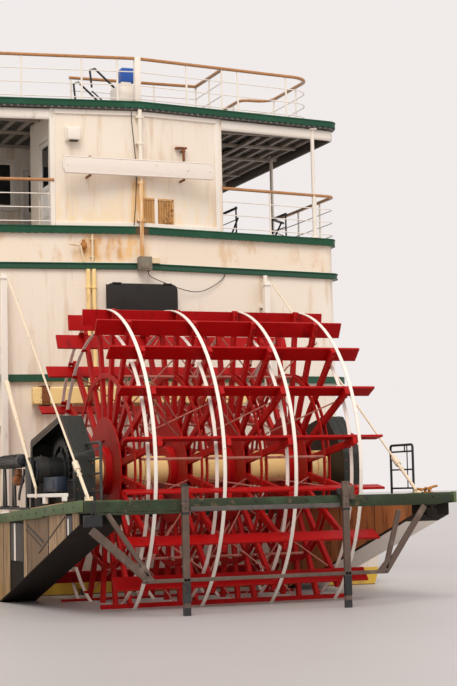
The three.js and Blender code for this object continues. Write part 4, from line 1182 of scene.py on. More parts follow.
def ceilingFrames():
    # rafters and beams under the top deck where it stands clear of the houses
    parts = []
    low, high = 5.842, 5.8805
    x = -2.492
    while x < 2.5:
        aft = bulkheadY(x, -0.02)
        if abs(x) > 2.35:
            aft += 0.16
        if -1.0 < x < 1.1:
            parts.append(box((x - 0.019, -6.995, low), (x + 0.019, -5.905, high), 0.003))
        else:
            forward = -5.905 if abs(x) < 1.87 else 5.9
            parts.append(box((x - 0.019, aft, low), (x + 0.019, forward, high), 0.003))
        x += 0.178
    for x0, x1, y in ((-2.50, -0.99, -7.55), (1.08, 2.50, -7.55), (-2.5, 2.5, -6.86), (-2.5, 2.5, -6.1)):
        parts.append(box((x0, y - 0.03, low - 0.028), (x1, y + 0.03, low + 0.004), 0.004))
    for side in (-1, 1):
        for k in range(11):
            y = -5.0 + k
            a, b = sorted((side * 1.86, side * 2.5))
            parts.append(box((a, y - 0.022, low - 0.02), (b, y + 0.022, low + 0.004), 0.004))
    parts.append(box((1.70, -7.5, low - 0.045), (1.76, -6.0, low - 0.02), 0.004))
    # the rafters wear rafterShade, painted shade
    piece("topDeckRafters", parts, "rafterShade")


deckEdges()
ceilingFrames()
print("deck edges and eaves built")

# Railings
rails = {
    "capZ": 0.518, "steps": (0.155, 0.31, 0.465), "rod": 0.0062, "post": 0.012,
    "topHalf": 2.300, "topProud": -0.020, "sideHalf": 2.585, "sideProud": 0.004, "openAft": -6.25,
    "openFront": -4.3,
    "standX": 2.492, "standY": (-6.11, -4.3, -2.3, -0.3, 1.7, 3.7, 5.5),
}


def topRailY(x):
    return bulkheadY(x, rails["topProud"])


def topRailLine():
    out = rails["topHalf"]
    front = decks["top"]["front"] - 0.133
    starboard = [(out, topRailY(out), 0.27), (out, -6.56, 0.19), (1.90, -6.56, 0.12), (1.90, front, 0.4)]
    port = [(-x, y, r) for x, y, r in reversed(starboard)]
    return arcCorners([(0, topRailY(0)), *starboard, *port], 8)


def thirdRailLines(side):
    start = 0.96 if side < 0 else 1.056
    out, ahead, proud = rails["sideHalf"], decks["third"]["front"] - 0.06, rails["sideProud"]
    aft = [(side * (start + 0.003), bulkheadY(start, proud)), (side * out, bulkheadY(out, proud), 0.12)]
    front = [(side * out, ahead, 0.4), (side * 0.02, ahead)]
    if side < 0:
        return [arcCorners([*aft, *front], 7)]
    return [
        arcCorners([*aft, (out, rails["openAft"], 0.03), (rails["standX"], rails["standY"][0])], 7),
        arcCorners([(rails["standX"], rails["openFront"]), (out, rails["openFront"], 0.03), *front], 7),
    ]


def headerLine(side):
    start = 0.96 if side < 0 else 1.056
    out, ahead, proud = decks["top"]["half"] - 0.045, decks["third"]["front"] - 0.06, -0.010
    return arcCorners([
        (side * (start + 0.003), bulkheadY(start, proud)), (side * out, bulkheadY(out, proud), 0.095),
        (side * out, ahead, 0.4), (side * 0.02, ahead),
    ], 7)


def railSet(name, lines, floor, posts, closed=False, replaces=()):
    # a wooden cap over steel rods and posts
    caps, rods = [], []
    for line in lines:
        caps.append(pipes([lift(line, floor + rails["capZ"])], wide=0.046, high=0.034, closed=closed))
        rods.append(pipes(
            [lift(line, floor + rails["capZ"] - drop) for drop in rails["steps"]], rails["rod"], 6,
            closed=closed,
        ))
    bm = bmesh.new()
    post = rod((0, 0, 0.002), (0, 0, rails["capZ"] - 0.01), rails["post"], 8)
    foot = turned([(0, 0.0), (0.030, 0.0), (0.030, 0.008), (0.016, 0.014), (0, 0.014)], (0, 0, 0), 12)
    for x, y in posts:
        stamp(bm, post, at(x, y, floor))
        stamp(bm, foot, at(x, y, floor))
    rods.append(meshFrom(bm))
    piece(name + "Cap", caps, "railWood")
    piece(name + "Bars", rods, "trimWhite", replaces)


def topRails():
    line = topRailLine()
    posts = []
    for x in (0.629, 1.304, 1.962):
        posts += [(x, topRailY(x)), (-x, topRailY(x))]
    posts += [(-0.226, topRailY(0.226)), (1.09, topRailY(1.09))]
    for p, _ in walk(line, 0.67, closed=True):
        if p.y > -7.75 and all(math.hypot(p.x - a, p.y - b) > 0.22 for a, b in posts):
            posts.append((p.x, p.y))
    railSet("topRail", [line], deckTop["top"], posts, closed=True, replaces=["top_rail"])
    stairs = [Vector((1.11, topRailY(1.11) + 0.01)), Vector((1.11, -7.05)), Vector((-0.49, -7.05))]
    around = [(1.11, -7.05), (0.57, -7.05), (0.04, -7.05), (-0.47, -7.05), (1.11, -7.5)]
    railSet("topStairRail", [stairs], deckTop["top"], around)
    staff = box((-0.035, topRailY(0) - 0.035, 5.973), (0.035, topRailY(0) + 0.035, 6.50), 0.006, 2)
    piece("topRailStaff", [staff], "trimWhite")
    # dark handrails of the stair that comes up inside
    parts = []
    for y in (-7.79, -7.13):
        parts.append(pipes(
            [[(-0.44, y, 6.20), (-0.46, y, 6.40), (-0.40, y, 6.42), (0.30, y, 5.80), (0.92, y, 5.20)]],
            0.012, 8,
        ))
        parts.append(pipes([[(-0.44, y, 6.16), (0.28, y, 5.56), (0.90, y, 5.0)]], 0.008, 8))
    piece("stairHandrails", parts, "blackIron")


def thirdRails():
    for side, name in ((-1, "port"), (1, "starboard")):
        lines = thirdRailLines(side)
        posts = [(p.x, p.y) for line in lines for p, _ in walk(line, 0.66)[1:-1]]
        railSet(f"thirdRail{name.title()}", lines, deckTop["third"], posts, replaces=[f"third_rail_{name}"])
        parts = []
        sides = [(side * rails["standX"], y) for y in rails["standY"]]
        stands = [(side * 2.3, bulkheadY(2.3, rails["sideProud"])), *sides]
        for x, y in stands:
            parts += [
                rod((x, y, 4.552), (x, y, 5.88), 0.023, 14),
                turned([(0, 0), (0.05, 0), (0.05, 0.012), (0.03, 0.02), (0, 0.02)], (x, y, 4.551), 16),
                box((x - 0.045, y - 0.045, 5.862), (x + 0.045, y + 0.045, 5.878), 0.003),
            ]
        for x, y in sides:
            a, b = sorted((x, side * (decks["top"]["half"] - 0.05)))
            parts.append(box((a, y - 0.014, 5.82), (b, y + 0.014, 5.875), 0.003))
        # the header is white across the stern; its stretch along the starboard side wears headerShade,
        # painted shade under the top deck, and on the port side it stays white
        line = headerLine(side)
        turn = 5
        parts.append(pipes([lift(line[:turn + 1], 5.8135)], wide=0.046, high=0.122))
        piece(f"stanchions{name.title()}", parts, "trimWhite")
        edge = pipes([lift(line[turn:], 5.8135)], wide=0.046, high=0.122)
        piece(f"sideHeader{name.title()}", [edge], "headerShade" if side > 0 else "trimWhite")
    # rails round the head of the lower stair
    cap = deckTop["third"] + 0.43
    across = [(2.56, -6.30), (2.30, -6.54), (2.30, -6.98)]
    parts = [
        pipes([lift(across, cap), [(1.49, -6.0, cap - 0.02), (1.49, -7.345, cap - 0.02)]], 0.016),
        pipes([[(1.49, -7.39, 4.833), (1.49, -7.20, 4.686), (1.53, -6.9, 4.42)],
               [(2.21, -7.045, 4.861), (2.21, -6.861, 4.735), (2.17, -6.6, 4.52)]], 0.011),
    ]
    for z in (cap - 0.16, cap - 0.31):
        parts.append(pipes([lift(across, z), [(1.49, -6.0, z), (1.49, -7.33, z)]], 0.006, 6))
    for x, y in ((2.30, -6.54), (2.30, -6.97), (1.49, -6.0), (1.49, -6.66), (1.49, -7.33)):
        parts.append(rod((x, y, 4.552), (x, y, cap), 0.011, 8))
    piece("stairHeadRails", parts, "blackIron")


topRails()
thirdRails()
print("railings built")

# Fittings on the aft bulkhead
post = {
    "x": 1.56, "half": 0.033, "deep": 0.09, "foot": 1.378, "top": 3.985, "clamps": (1.9, 2.35, 3.2, 3.7)
}


def kingPosts():
    for side, name in ((-1, "port"), (1, "starboard")):
        x, half = side * post["x"], post["half"]
        face = bulkheadY(post["x"] - half, 0.05) - 0.022
        parts = [
            box((x - half, face - post["deep"], post["foot"]), (x + half, face, post["top"]), 0.004),
            box((x - 0.042, face - 0.1, 3.93), (x + 0.042, face + 0.004, 3.955), 0.003),
            box((x - 0.055, face - 0.105, post["foot"]), (x + 0.055, face + 0.01, 1.395), 0.003),
        ]
        for z in post["clamps"]:
            parts.append(box(
                (x - 0.05, face - 0.002, z - 0.02), (x + 0.05, bulkheadY(post["x"]) + 0.002, z + 0.02),
                0.003,
            ))
        piece(f"kingPost{name.title()}", parts, "trimWhite", [f"king_post_{name}"])


def wallPoint(x, proud, z):
    return Vector((x, bulkheadY(x, proud), z))


# the box beam across the bulkhead and its rusty cap pieces
beam = {
    "out": 0.075, "z": 2.652, "reach": 1.25, "high": 0.184, "deep": 0.148, "round": 0.010,
    "straps": (-1.12, -0.62, 0.62, 1.12), "strapHalf": 0.045,
    "strapLow": (0.16, 2.54), "strapHigh": (0.0, 2.77),
}


def boxBeam():
    parts = []
    for side in (-1, 1):
        a, b = (wallPoint(reach, beam["out"], beam["z"]) for reach in (0, side * beam["reach"]))
        parts.append(bar(a - (b - a).normalized() * 0.005, b, beam["high"], beam["deep"], beam["round"]))
    piece("boxBeam", parts, "cream", ["box_beam"])
    parts, half = [], beam["strapHalf"]
    for x in beam["straps"]:
        low, high = (wallPoint(x, *beam[k]) for k in ("strapLow", "strapHigh"))
        top = high.z - 0.008
        parts += [
            box((x - half, low.y, low.z), (x + half, high.y, low.z + 0.014), 0.002),
            box((x - half, low.y, top - 0.014), (x + half, high.y, top), 0.002),
            box((x - half, low.y, low.z), (x + half, low.y + 0.012, top), 0.002),
        ]
        for dx in (-0.025, 0.025):
            for z in (low.z + 0.05, high.z - 0.07):
                parts.append(rod((x + dx, low.y - 0.01, z), (x + dx, low.y, z), 0.012, 6))
    piece("beamStraps", parts, "rust")


vent = {
    "at": (-0.604, -0.540), "out": 0.034, "foot": 2.76, "top": 4.064, "radius": 0.024,
    "clips": (2.95, 3.4, 3.86),
}
drain = {
    "x": 1.585, "out": 0.04, "foot": 3.62, "radius": 0.026, "shoe": (1.54, 1.63), "shoeZ": (3.60, 3.66)
}
tallPipe = {
    "out": 0.052, "foot": 4.2055, "top": 5.8805, "radius": 0.0225, "sockets": (4.62, 5.05, 5.5, 5.8)
}


def wallPipes():
    parts = []
    for x in vent["at"]:
        top = wallPoint(x, vent["out"], vent["top"])
        parts.append(rod((x, top.y, vent["foot"]), top, vent["radius"], 16))
        for z in vent["clips"]:
            parts.append(hoop(-0.012, 0.012, 0.022, 0.032, (0, 0, 0), 0.003, 20))
            parts[-1].transform(at(x, top.y, z) @ Matrix.Rotation(math.pi / 2, 4, "Y"))
    piece("ventPipes", parts, "cream")
    foot, top = (wallPoint(drain["x"], drain["out"], z) for z in (drain["foot"], vent["top"]))
    (x0, x1), (z0, z1) = drain["shoe"], drain["shoeZ"]
    shoe = box((x0, bulkheadY(x0, 0.07), z0), (x1, bulkheadY(x1), z1), 0.005)
    piece("starboardDrain", [rod(foot, top, drain["radius"], 16), shoe], "trimWhite")
    # the pipe with sockets up the middle of the aft house
    y = stern["apexY"] - tallPipe["out"]
    parts = [rod((0, y, tallPipe["foot"]), (0, y, tallPipe["top"]), tallPipe["radius"], 20)]
    for z in tallPipe["sockets"]:
        parts.append(rod((0, y, z - 0.02), (0, y, z + 0.02), 0.029, 16))
        parts.append(box((-0.045, y - 0.006, z - 0.012), (0.045, stern["apexY"], z + 0.012), 0.003))
    piece("centrePipe", parts, "centrePipe", ["centre_pipe"])


# corner boards, the trim along the foot and head, and the lamp box
trim = {
    "foot": 4.553, "head": 5.878, "boards": ((-1.004, -0.948), (0.968, 1.026)), "reaches": (-0.95, 0.99),
    "strips": ((5.845, 0.05), (4.575, 0.045)), "edges": ((-0.975, -0.962, 0.96), (1.058, 1.062, 1.05)),
}


def houseTrim():
    parts, foot, head = [], trim["foot"], trim["head"]
    for x0, x1 in trim["boards"]:
        middle = (x0 + x1) / 2
        parts.append(
            box((x0, bulkheadY(middle, 0.012), foot), (x1, bulkheadY(middle, -0.045), head), 0.004)
        )
    for x0, x1, where in trim["edges"]:
        parts.append(box((x0, bulkheadY(where), foot), (x1, bulkheadY(where) + 0.07, head), 0.003))
    for reach in trim["reaches"]:
        for z, high in trim["strips"]:
            parts.append(bar(wallPoint(0, 0.010, z), wallPoint(reach, 0.010, z), high, 0.020))
    piece("houseTrim", parts, "trimWhite")
    y = bulkheadY(0.7)
    parts = [
        box((-0.826, y - 0.09, 5.512), (-0.677, y + 0.03, 5.657), 0.014, 3),
        box((-0.835, y - 0.03, 5.505), (-0.668, y + 0.03, 5.665), 0.006),
    ]
    piece("lampBox", parts, "trimWhite")
    piece("lampLens", [box((-0.80, y - 0.075, 5.500), (-0.70, y - 0.012, 5.513), 0.003)], "blackIron")


def louvre():
    spot = {"x0": 0.016, "x1": 0.420, "z0": 4.556, "z1": 4.888, "slats": 11}
    y = bulkheadY(0.22)
    turnBy = at(0.218, y, 0) @ Matrix.Rotation(math.atan(stern["sweep"]), 4, "Z")
    half = (spot["x1"] - spot["x0"]) / 2
    low, high, rim = spot["z0"], spot["z1"], 0.022
    parts = [
        box((-half, -0.018, low), (half, 0.004, low + rim), 0.003),
        box((-half, -0.018, high - rim), (half, 0.004, high), 0.003),
        box((-half, -0.018, low), (-half + rim, 0.004, high), 0.003),
        box((half - rim, -0.018, low), (half, 0.004, high), 0.003),
        box((-half, -0.003, low), (half, 0.003, high)),
    ]
    wide = 2 * (half - 0.024)
    for k in range(spot["slats"]):
        x = -half + 0.024 + wide * (k + 0.5) / spot["slats"]
        slat = box((-0.016, -0.002, low + 0.02), (0.016, 0.002, high - 0.02), 0.001)
        slat.transform(at(x, -0.011, 0) @ Matrix.Rotation(math.radians(32), 4, "Z"))
        parts.append(slat)
    for part in parts:
        part.transform(turnBy)
    piece("louvre", parts, "louvre")
    post = box((-0.020, -0.022, low), (0.020, 0.0, high), 0.003)
    post.transform(turnBy @ at(-0.025, 0, 0))
    piece("louvrePost", [post], "trimWhite")


def teeBracket():
    y = bulkheadY(0.5, 0.04)
    parts = [
        box((0.45, y - 0.02, 5.475), (0.585, y + 0.03, 5.497), 0.003),
        box((0.535, y - 0.018, 5.37), (0.557, y + 0.012, 5.48), 0.003),
        rod((0.546, y - 0.005, 5.345), (0.546, y - 0.005, 5.375), 0.016, 10),
        box((0.52, y - 0.005, 5.44), (0.57, y + 0.042, 5.46), 0.002),
    ]
    piece("teeBracket", parts, "rust")


board = {
    "left": -0.925, "right": 0.870, "middleZ": 5.205, "faceY": 0.110, "backY": 0.080,
    "brackets": (-0.60, 0.51),
}


def nameBoard():
    # a bare board with shaped ends and a raised border
    ends = [
        (0.020, 5.108), (0.020, 5.132), (0.006, 5.146), (0.0, 5.170), (0.0, 5.240), (0.006, 5.264),
        (0.020, 5.278), (0.020, 5.302),
    ]
    edgeLine = [(board["left"] + d, z) for d, z in reversed(ends)]
    edgeLine += [(board["right"] - d, z) for d, z in ends]
    y0, y1 = (stern["apexY"] - board[k] for k in ("faceY", "backY"))
    parts = [plate([(x, y0, z) for x, z in edgeLine], y1 - y0, axisY, 0.003)]
    centre = Vector(((board["left"] + board["right"]) / 2, board["middleZ"]))
    inner = [
        (centre + (Vector(p) - centre) * 0.985 + Vector((0, (centre.y - p[1]) * 0.08))) for p in edgeLine
    ]
    parts.append(pipes([[(p.x, y0 - 0.001, p.y) for p in inner]], 0.0035, 6, closed=True))
    for x in (-0.87, 0.815):
        screw = [(0, 0), (0.011, 0), (0.008, 0.005), (0, 0.006)]
        parts.append(turned(screw, (x, y0, board["middleZ"]), 14, axis=-axisY))
    piece("nameBoard", parts, "board", ["name_board"])
    parts = []
    for x in board["brackets"]:
        back = bulkheadY(x) + 0.002
        for z in (5.09, 5.30):
            parts.append(box((x - 0.012, y1 - 0.002, z), (x + 0.012, back, z + 0.02), 0.002))
    piece("boardBrackets", parts, "rust")


flap = {"half": 0.42, "low": 3.42, "high": 3.905, "thick": 0.026, "proud": 0.034, "hinges": 0.3}


def flapHatch():
    # the dark rounded flap over the hole in the bulkhead
    half, low, high = flap["half"], flap["low"], flap["high"]
    corners = arcCorners([(-half, low, 0.03), (half, low, 0.03), (half, high, 0.07), (-half, high, 0.07)])
    parts = [
        plate([(p.x, stern["apexY"] - flap["proud"], p.y) for p in corners], flap["thick"], axisY, 0.003)
    ]
    for x in (-flap["hinges"], flap["hinges"]):
        parts.append(rod(
            (x - 0.05, stern["apexY"] - 0.036, high), (x + 0.05, stern["apexY"] - 0.036, high), 0.010, 10
        ))
    piece("flapHatch", parts, "flapDark")


kingPosts()
boxBeam()
wallPipes()
houseTrim()
louvre()
teeBracket()
nameBoard()
flapHatch()
print("bulkhead fittings built")

# Wheel guard behind the wheel
guard = {
    "aft": -11.8327, "fore": -11.723, "top": 1.512, "low": 1.405,
    "posts": (-0.893, 0.676), "hangAft": -11.8745,
    "railZ": 0.800, "bolt": 0.011, "bolts": (-1.6, -1.22, -0.72, -0.2, 0.3, 0.9, 1.3, 1.6),
    "struts": (
        (-1.76, 1.26, -1.255, 0.825, 0.072), (-1.61, 1.395, -1.24, 0.85, 0.042),
        (1.22, 1.36, 1.065, 0.83, 0.044), (1.49, 1.395, 1.065, 0.80, 0.054),
    ),
}


def armTop(y):
    return 1.375 + 0.137 * (-8.725 - y) / 2.9977


def screwHead(place, way, radius=0.010, high=0.006):
    return turned(
        [(0, 0), (radius, 0), (radius * 0.9, high * 0.7), (radius * 0.4, high), (0, high)], place, 8,
        axis=way,
    )


def guardBeam():
    g = guard
    line = [
        (-1.820, g["low"]), (1.640, g["low"]), (1.772, 1.425), (1.796, 1.440), (1.802, 1.460),
        (1.796, 1.494), (1.776, 1.509), (1.752, g["top"]), (-1.805, g["top"]), (-1.818, 1.500),
    ]
    parts = [plate([(x, g["aft"] + 0.005, z) for x, z in line], g["fore"] - g["aft"] - 0.005, axisY, 0.004)]
    line = [
        (0.722, g["low"] - 0.001), (1.636, g["low"] - 0.001), (1.769, 1.424), (1.793, 1.440),
        (1.799, 1.460), (1.793, 1.493), (1.772, 1.508), (0.722, g["top"] + 0.0005),
    ]
    parts += [
        plate([(x, g["aft"] + 0.0002, z) for x, z in line], 0.03, axisY, 0.005),
        box((-1.805, g["aft"] + 0.001, 1.410), (-0.935, g["aft"] + 0.02, 1.508), 0.004),
        box(
            (-1.70, g["aft"] + 0.006, g["low"] - 0.020), (-0.93, g["fore"] - 0.02, g["low"] + 0.002), 0.004
        ),
    ]
    piece("guardBeam", parts, "oldGreen", ["guard_beam"])
    piece("guardBeamStrip", [
        box((-0.835, g["aft"] + 0.0005, 1.404), (0.628, g["aft"] + 0.012, 1.442), 0.003),
        box((-0.835, g["aft"] + 0.003, 1.399), (0.628, g["fore"], 1.4045), 0.002),
    ], "greySteel")
    parts = [box((1.694, g["aft"] - 0.001, 1.434), (1.792, g["aft"] + 0.01, 1.452), 0.006, 2)]
    for x in g["bolts"]:
        parts.append(screwHead((x, g["aft"] + 0.0006, 1.478), -axisY, g["bolt"], 0.007))
    for x in (-1.745, -1.715):
        parts.append(box((x - 0.009, g["aft"] - 0.002, 1.385), (x + 0.009, g["aft"] + 0.004, 1.517), 0.002))
    piece("guardBeamIron", parts, "blackIron")


def guardFrame():
    g = guard
    y0, y1 = g["hangAft"] + 0.002, g["aft"] - 0.0008
    middle = (y0 + y1) / 2
    left, right = g["posts"]
    parts = []
    for x in g["posts"]:
        parts.append(box((x - 0.031, y0, 0.38), (x + 0.031, y1, 1.625), 0.004))
    parts += [
        box((right - 0.034, y0 - 0.001, 1.470), (right + 0.034, y1, 1.640), 0.006),
        box((right + 0.030, y0 - 0.001, 1.470), (right + 0.084, y1, 1.600), 0.006),
        box((left - 0.037, y0 - 0.001, 1.455), (left + 0.037, y1, 1.475), 0.003),
        box((-1.30, y0, g["railZ"] - 0.0165), (1.085, y1, g["railZ"] + 0.0165), 0.004),
    ]
    for x0, z0, x1, z1, wide in g["struts"]:
        parts.append(bar((x0, middle, z0), (x1, middle, z1), wide, 0.032, 0.004))
    for x, way in ((1.085, -1), (-1.30, 1)):
        line = [
            (x, g["railZ"]), (x + way * 0.125, g["railZ"]), (x + way * 0.01, g["railZ"] + 0.125),
            (x, g["railZ"] + 0.11),
        ]
        parts.append(plate([(px, y0 + 0.004, z) for px, z in line], 0.008, axisY))
    piece("guardFrame", parts, "guardGrey", ["guard_frame"])
    parts = []
    for x in g["posts"]:
        parts += [
            box((x - 0.0345, g["hangAft"], 0.595), (x + 0.0345, y1, 0.785), 0.004),
            box((x - 0.0325, g["hangAft"] + 0.001, 0.38), (x + 0.0325, y1, 0.56), 0.003),
            box((x - 0.036, g["hangAft"] + 0.001, 1.372), (x + 0.036, y1, 1.398), 0.003),
        ]
    parts += [
        box((left - 0.033, g["hangAft"], 1.620), (left + 0.033, y1, 1.638), 0.005),
        box((left - 0.018, g["hangAft"] + 0.006, 1.636), (left + 0.018, y1, 1.650), 0.004),
        box((right - 0.085, g["hangAft"] + 0.004, 1.515), (right - 0.048, y1, 1.575), 0.006),
    ]
    for x, z in (
        (left, 1.43), (left, 1.49), (right, 1.50), (right, 1.43), (left, 0.80), (right, 0.80), (1.06, 0.80),
        (-1.26, 0.80),
    ):
        parts.append(screwHead((x, y0 + 0.0005, z), -axisY, 0.010, 0.002))
    piece("guardFrameBands", parts, "blackIron")


guardBeam()
guardFrame()

# Wheel arms: green timbers outside, rusty plates, and what stands at their aft ends
arms = {
    "inner": 1.4397, "outer": 1.8203, "timber": 0.032, "deep": 0.088, "joint": -10.58,
    "front": -8.84, "aft": -11.828,
}


def armLow(y):
    return 1.307 - 0.841 * (y + 11.7227) / 2.9974


def armSkin(x, y0, y1, top, low, side, thick=0.0035):
    # a plate on an arm's face, cut along the arm's sloping underside
    z = [max(low, armLow(y) + 0.008) for y in (y0, y1)]
    tops = [min(top, armTop(y) - 0.004) for y in (y0, y1)]
    points = [(x, y0, z[0]), (x, y1, z[1]), (x, y1, tops[1]), (x, y0, tops[0])]
    return plate(points, thick, axisX * side, 0.001, 1)


def armTimbers():
    a = arms
    for name, side in (("Port", -1), ("Starboard", 1)):
        parts = []
        x0, x1 = sorted((side * (a["outer"] + 0.0005), side * (a["outer"] + a["timber"])))
        for y0, y1 in ((a["aft"], a["joint"] - 0.002), (a["joint"] + 0.002, a["front"])):
            line = [
                (y0, armTop(y0) + 0.003 - a["deep"] * 1.15), (y1, armTop(y1) + 0.003 - a["deep"]),
                (y1, armTop(y1) + 0.005), (y0, armTop(y0) + 0.005),
            ]
            parts.append(plate([(x0, y, z) for y, z in line], x1 - x0, axisX, 0.006))
        y0, y1 = -11.71, -11.08
        line = [
            (y0, armTop(y0) - 0.02), (y1, armTop(y1) - 0.02), (y1, armTop(y1) + 0.006),
            (y0, armTop(y0) + 0.006),
        ]
        parts.append(
            plate([(min(side * 1.44, side * a["outer"]), y, z) for y, z in line], a["outer"] - 1.44, axisX)
        )
        piece(f"armTimber{name}", parts, "armGreen")
        bolts = []
        for k in range(10):
            y = -11.6 + 0.30 * k
            bolts.append(screwHead(
                (side * (a["outer"] + a["timber"]), y, armTop(y) - 0.042), axisX * side, 0.012, 0.006
            ))
        for y in (a["joint"] - 0.10, a["joint"] + 0.10):
            bolts.append(screwHead(
                (side * (a["outer"] + a["timber"]), y, armTop(y) - 0.02), axisX * side, 0.010, 0.005
            ))
        if side < 0:
            bolts.append(box((-1.815, -11.8325, 1.285), (-1.645, -11.80, 1.392), 0.008))
            bolts.append(box((-1.80, -11.79, 1.30), (-1.66, -11.726, 1.40), 0.004))
        piece(f"armBolts{name}", bolts, "blackIron")


def armPlates():
    a = arms
    x = -a["outer"]
    plates = [(-11.70, -11.50), (-11.30, -10.71), (-10.69, -9.93), (-9.91, -9.80), (-9.24, -8.80)]
    piece(
        "armPlatesPort", [armSkin(x, y0, y1, 1.41, 0.5, -1) for y0, y1 in plates[:2] + plates[3:]],
        "tanPlate",
    )
    piece("armPlateBrownPort", [armSkin(x, -10.69, -9.93, 1.40, 0.5, -1)], "rustPlate")
    ends = ((-1.80, -11.10), (-1.80, -9.17), (-1.61, -9.17), (-1.61, -11.10))
    ledge = plate([(px, py, armTop(py) + 0.0065) for px, py in ends], 0.012, axisZ)
    piece("armLedgePort", [ledge], "pinkBoard")
    # black sheets in the two slots are painted shade inside them, the three thin dark bars are painted
    # shadows, and the short strips are dark joints between the plates
    dark = [
        armSkin(x, -11.485, -11.315, 1.385, 0.5, -1, 0.005),
        armSkin(x, -9.77, -9.30, 1.30, 0.93, -1, 0.005),
        bar((x - 0.006, -9.94, 1.285), (x - 0.006, -10.53, 1.135), 0.022, 0.008, 0.002, axisX),
        bar((x - 0.006, -9.90, 1.245), (x - 0.006, -10.45, 1.095), 0.012, 0.008, 0.002, axisX),
        bar((x - 0.006, -11.27, 1.375), (x - 0.006, -10.36, 1.03), 0.011, 0.008, 0.002, axisX),
    ]
    for y in (-9.79, -9.28, -8.99, -10.69, -11.30):
        dark.append(armSkin(x, y - 0.006, y + 0.006, 1.39, 0.5, -1, 0.006))
    piece("armSlotsPort", dark, "blackIron")
    straps = ((-9.46, 0.028, 1.30, 0.93), (-11.37, 0.016, 1.36, 1.2))
    white = [armSkin(x, y - half, y + half, top, low, -1, 0.008) for y, half, top, low in straps]
    piece("armStrapsPort", white, "trimWhite")
    # the far sides: face, its outer side, height, spans
    far = (
        (-a["inner"], 1, 1.5, ((-11.70, -10.62), (-10.60, -9.9), (-9.88, -8.75))),
        (a["inner"], -1, 1.5, ((-11.70, -10.92), (-10.90, -10.12), (-10.10, -9.4), (-9.38, -8.75))),
        (a["outer"], 1, 1.41, ((-11.70, -10.71), (-10.69, -9.7), (-9.68, -8.80))),
    )
    inner = [armSkin(face, y0, y1, top, 0.5, way) for face, way, top, spans in far for y0, y1 in spans]
    piece("armInnerPlates", inner, "orangePlate")
    # white soffit under the starboard arm, which hides the hull from the camera
    ends = [(1.472, -11.50), (1.815, -11.50), (1.815, -8.76), (1.472, -8.76)]
    soffit = plate([(px, py, armLow(py) - 0.0004) for px, py in ends], 0.0035, -axisZ)
    piece("armSoffitStarboard", [soffit], "trimWhite")


def cleatAndRoller():
    # the rusty horn cleat and the roller at the starboard end of the beam
    y = -11.70
    parts = [box((1.56, y - 0.028, 1.5125), (1.66, y + 0.028, 1.522), 0.003)]
    for x in (1.588, 1.628):
        parts.append(rod((x, y, 1.520), (x, y, 1.552), 0.013, 10))
    parts.append(pipes(
        [[(1.502, y, 1.553), (1.56, y, 1.546), (1.62, y, 1.556), (1.68, y, 1.572), (1.715, y, 1.577)]],
        0.012, 8,
    ))
    parts.append(pipes(
        [[(1.53, y - 0.02, 1.535), (1.58, y - 0.026, 1.563), (1.625, y - 0.024, 1.53), (1.66, y, 1.566)]],
        0.008, 6,
    ))
    piece("sternCleat", parts, "orangeRust")
    x, y, z = hub = (1.585, -11.806, 1.330)
    profile = [
        (0.0, -0.020), (0.046, -0.020), (0.056, -0.012), (0.058, 0.0), (0.056, 0.012), (0.046, 0.020),
        (0.0, 0.020),
    ]
    pin = [(0, -0.026), (0.014, -0.026), (0.014, 0.026), (0, 0.026)]
    parts = [turned(profile, hub, 24, axis=axisY), turned(pin, hub, 10, axis=axisY)]
    for dy in (-0.0235, 0.0235):
        parts.append(box((x - 0.016, y + dy - 0.002, z), (x + 0.016, y + dy + 0.002, 1.407), 0.001))
    parts.append(box((x - 0.07, -11.8325, 1.392), (x + 0.05, -11.75, 1.404), 0.002))
    piece("sternRoller", parts, "armShade")


armTimbers()
armPlates()
cleatAndRoller()

# Drives on the arms: the starboard ones stand further forward
drives = {
    "caseX": (1.400, 1.600), "rim": 0.066, "skin": 0.008, "aft": -10.83, "front": -9.25, "forward": 0.5,
    "bearingX": (1.606, 1.712), "motorX": 1.79, "motorZ": 1.915, "motorRadius": 0.069,
}


def onCircle(radius, degrees):
    # a point round the axle, as y and z
    t = math.radians(degrees)
    return axle[1] + radius * math.cos(t), axle[2] + radius * math.sin(t)


def caseLine(forward, inset=0.0):
    d = drives
    low = armTop(d["aft"]) + 0.002
    aft, front = d["aft"] + inset + forward, d["front"] - inset + forward
    ridge = axle[1] - 0.455 + forward
    corners = [
        (aft, low + inset), (front, low + inset), (front, 2.125 - inset, 0.05),
        (ridge, 2.326 - inset, 0.10), (ridge - 0.09 + inset / 2, 2.322 - inset, 0.06),
        (aft, 1.94 - inset / 3, 0.05),
    ]
    return arcCorners(corners, 5)


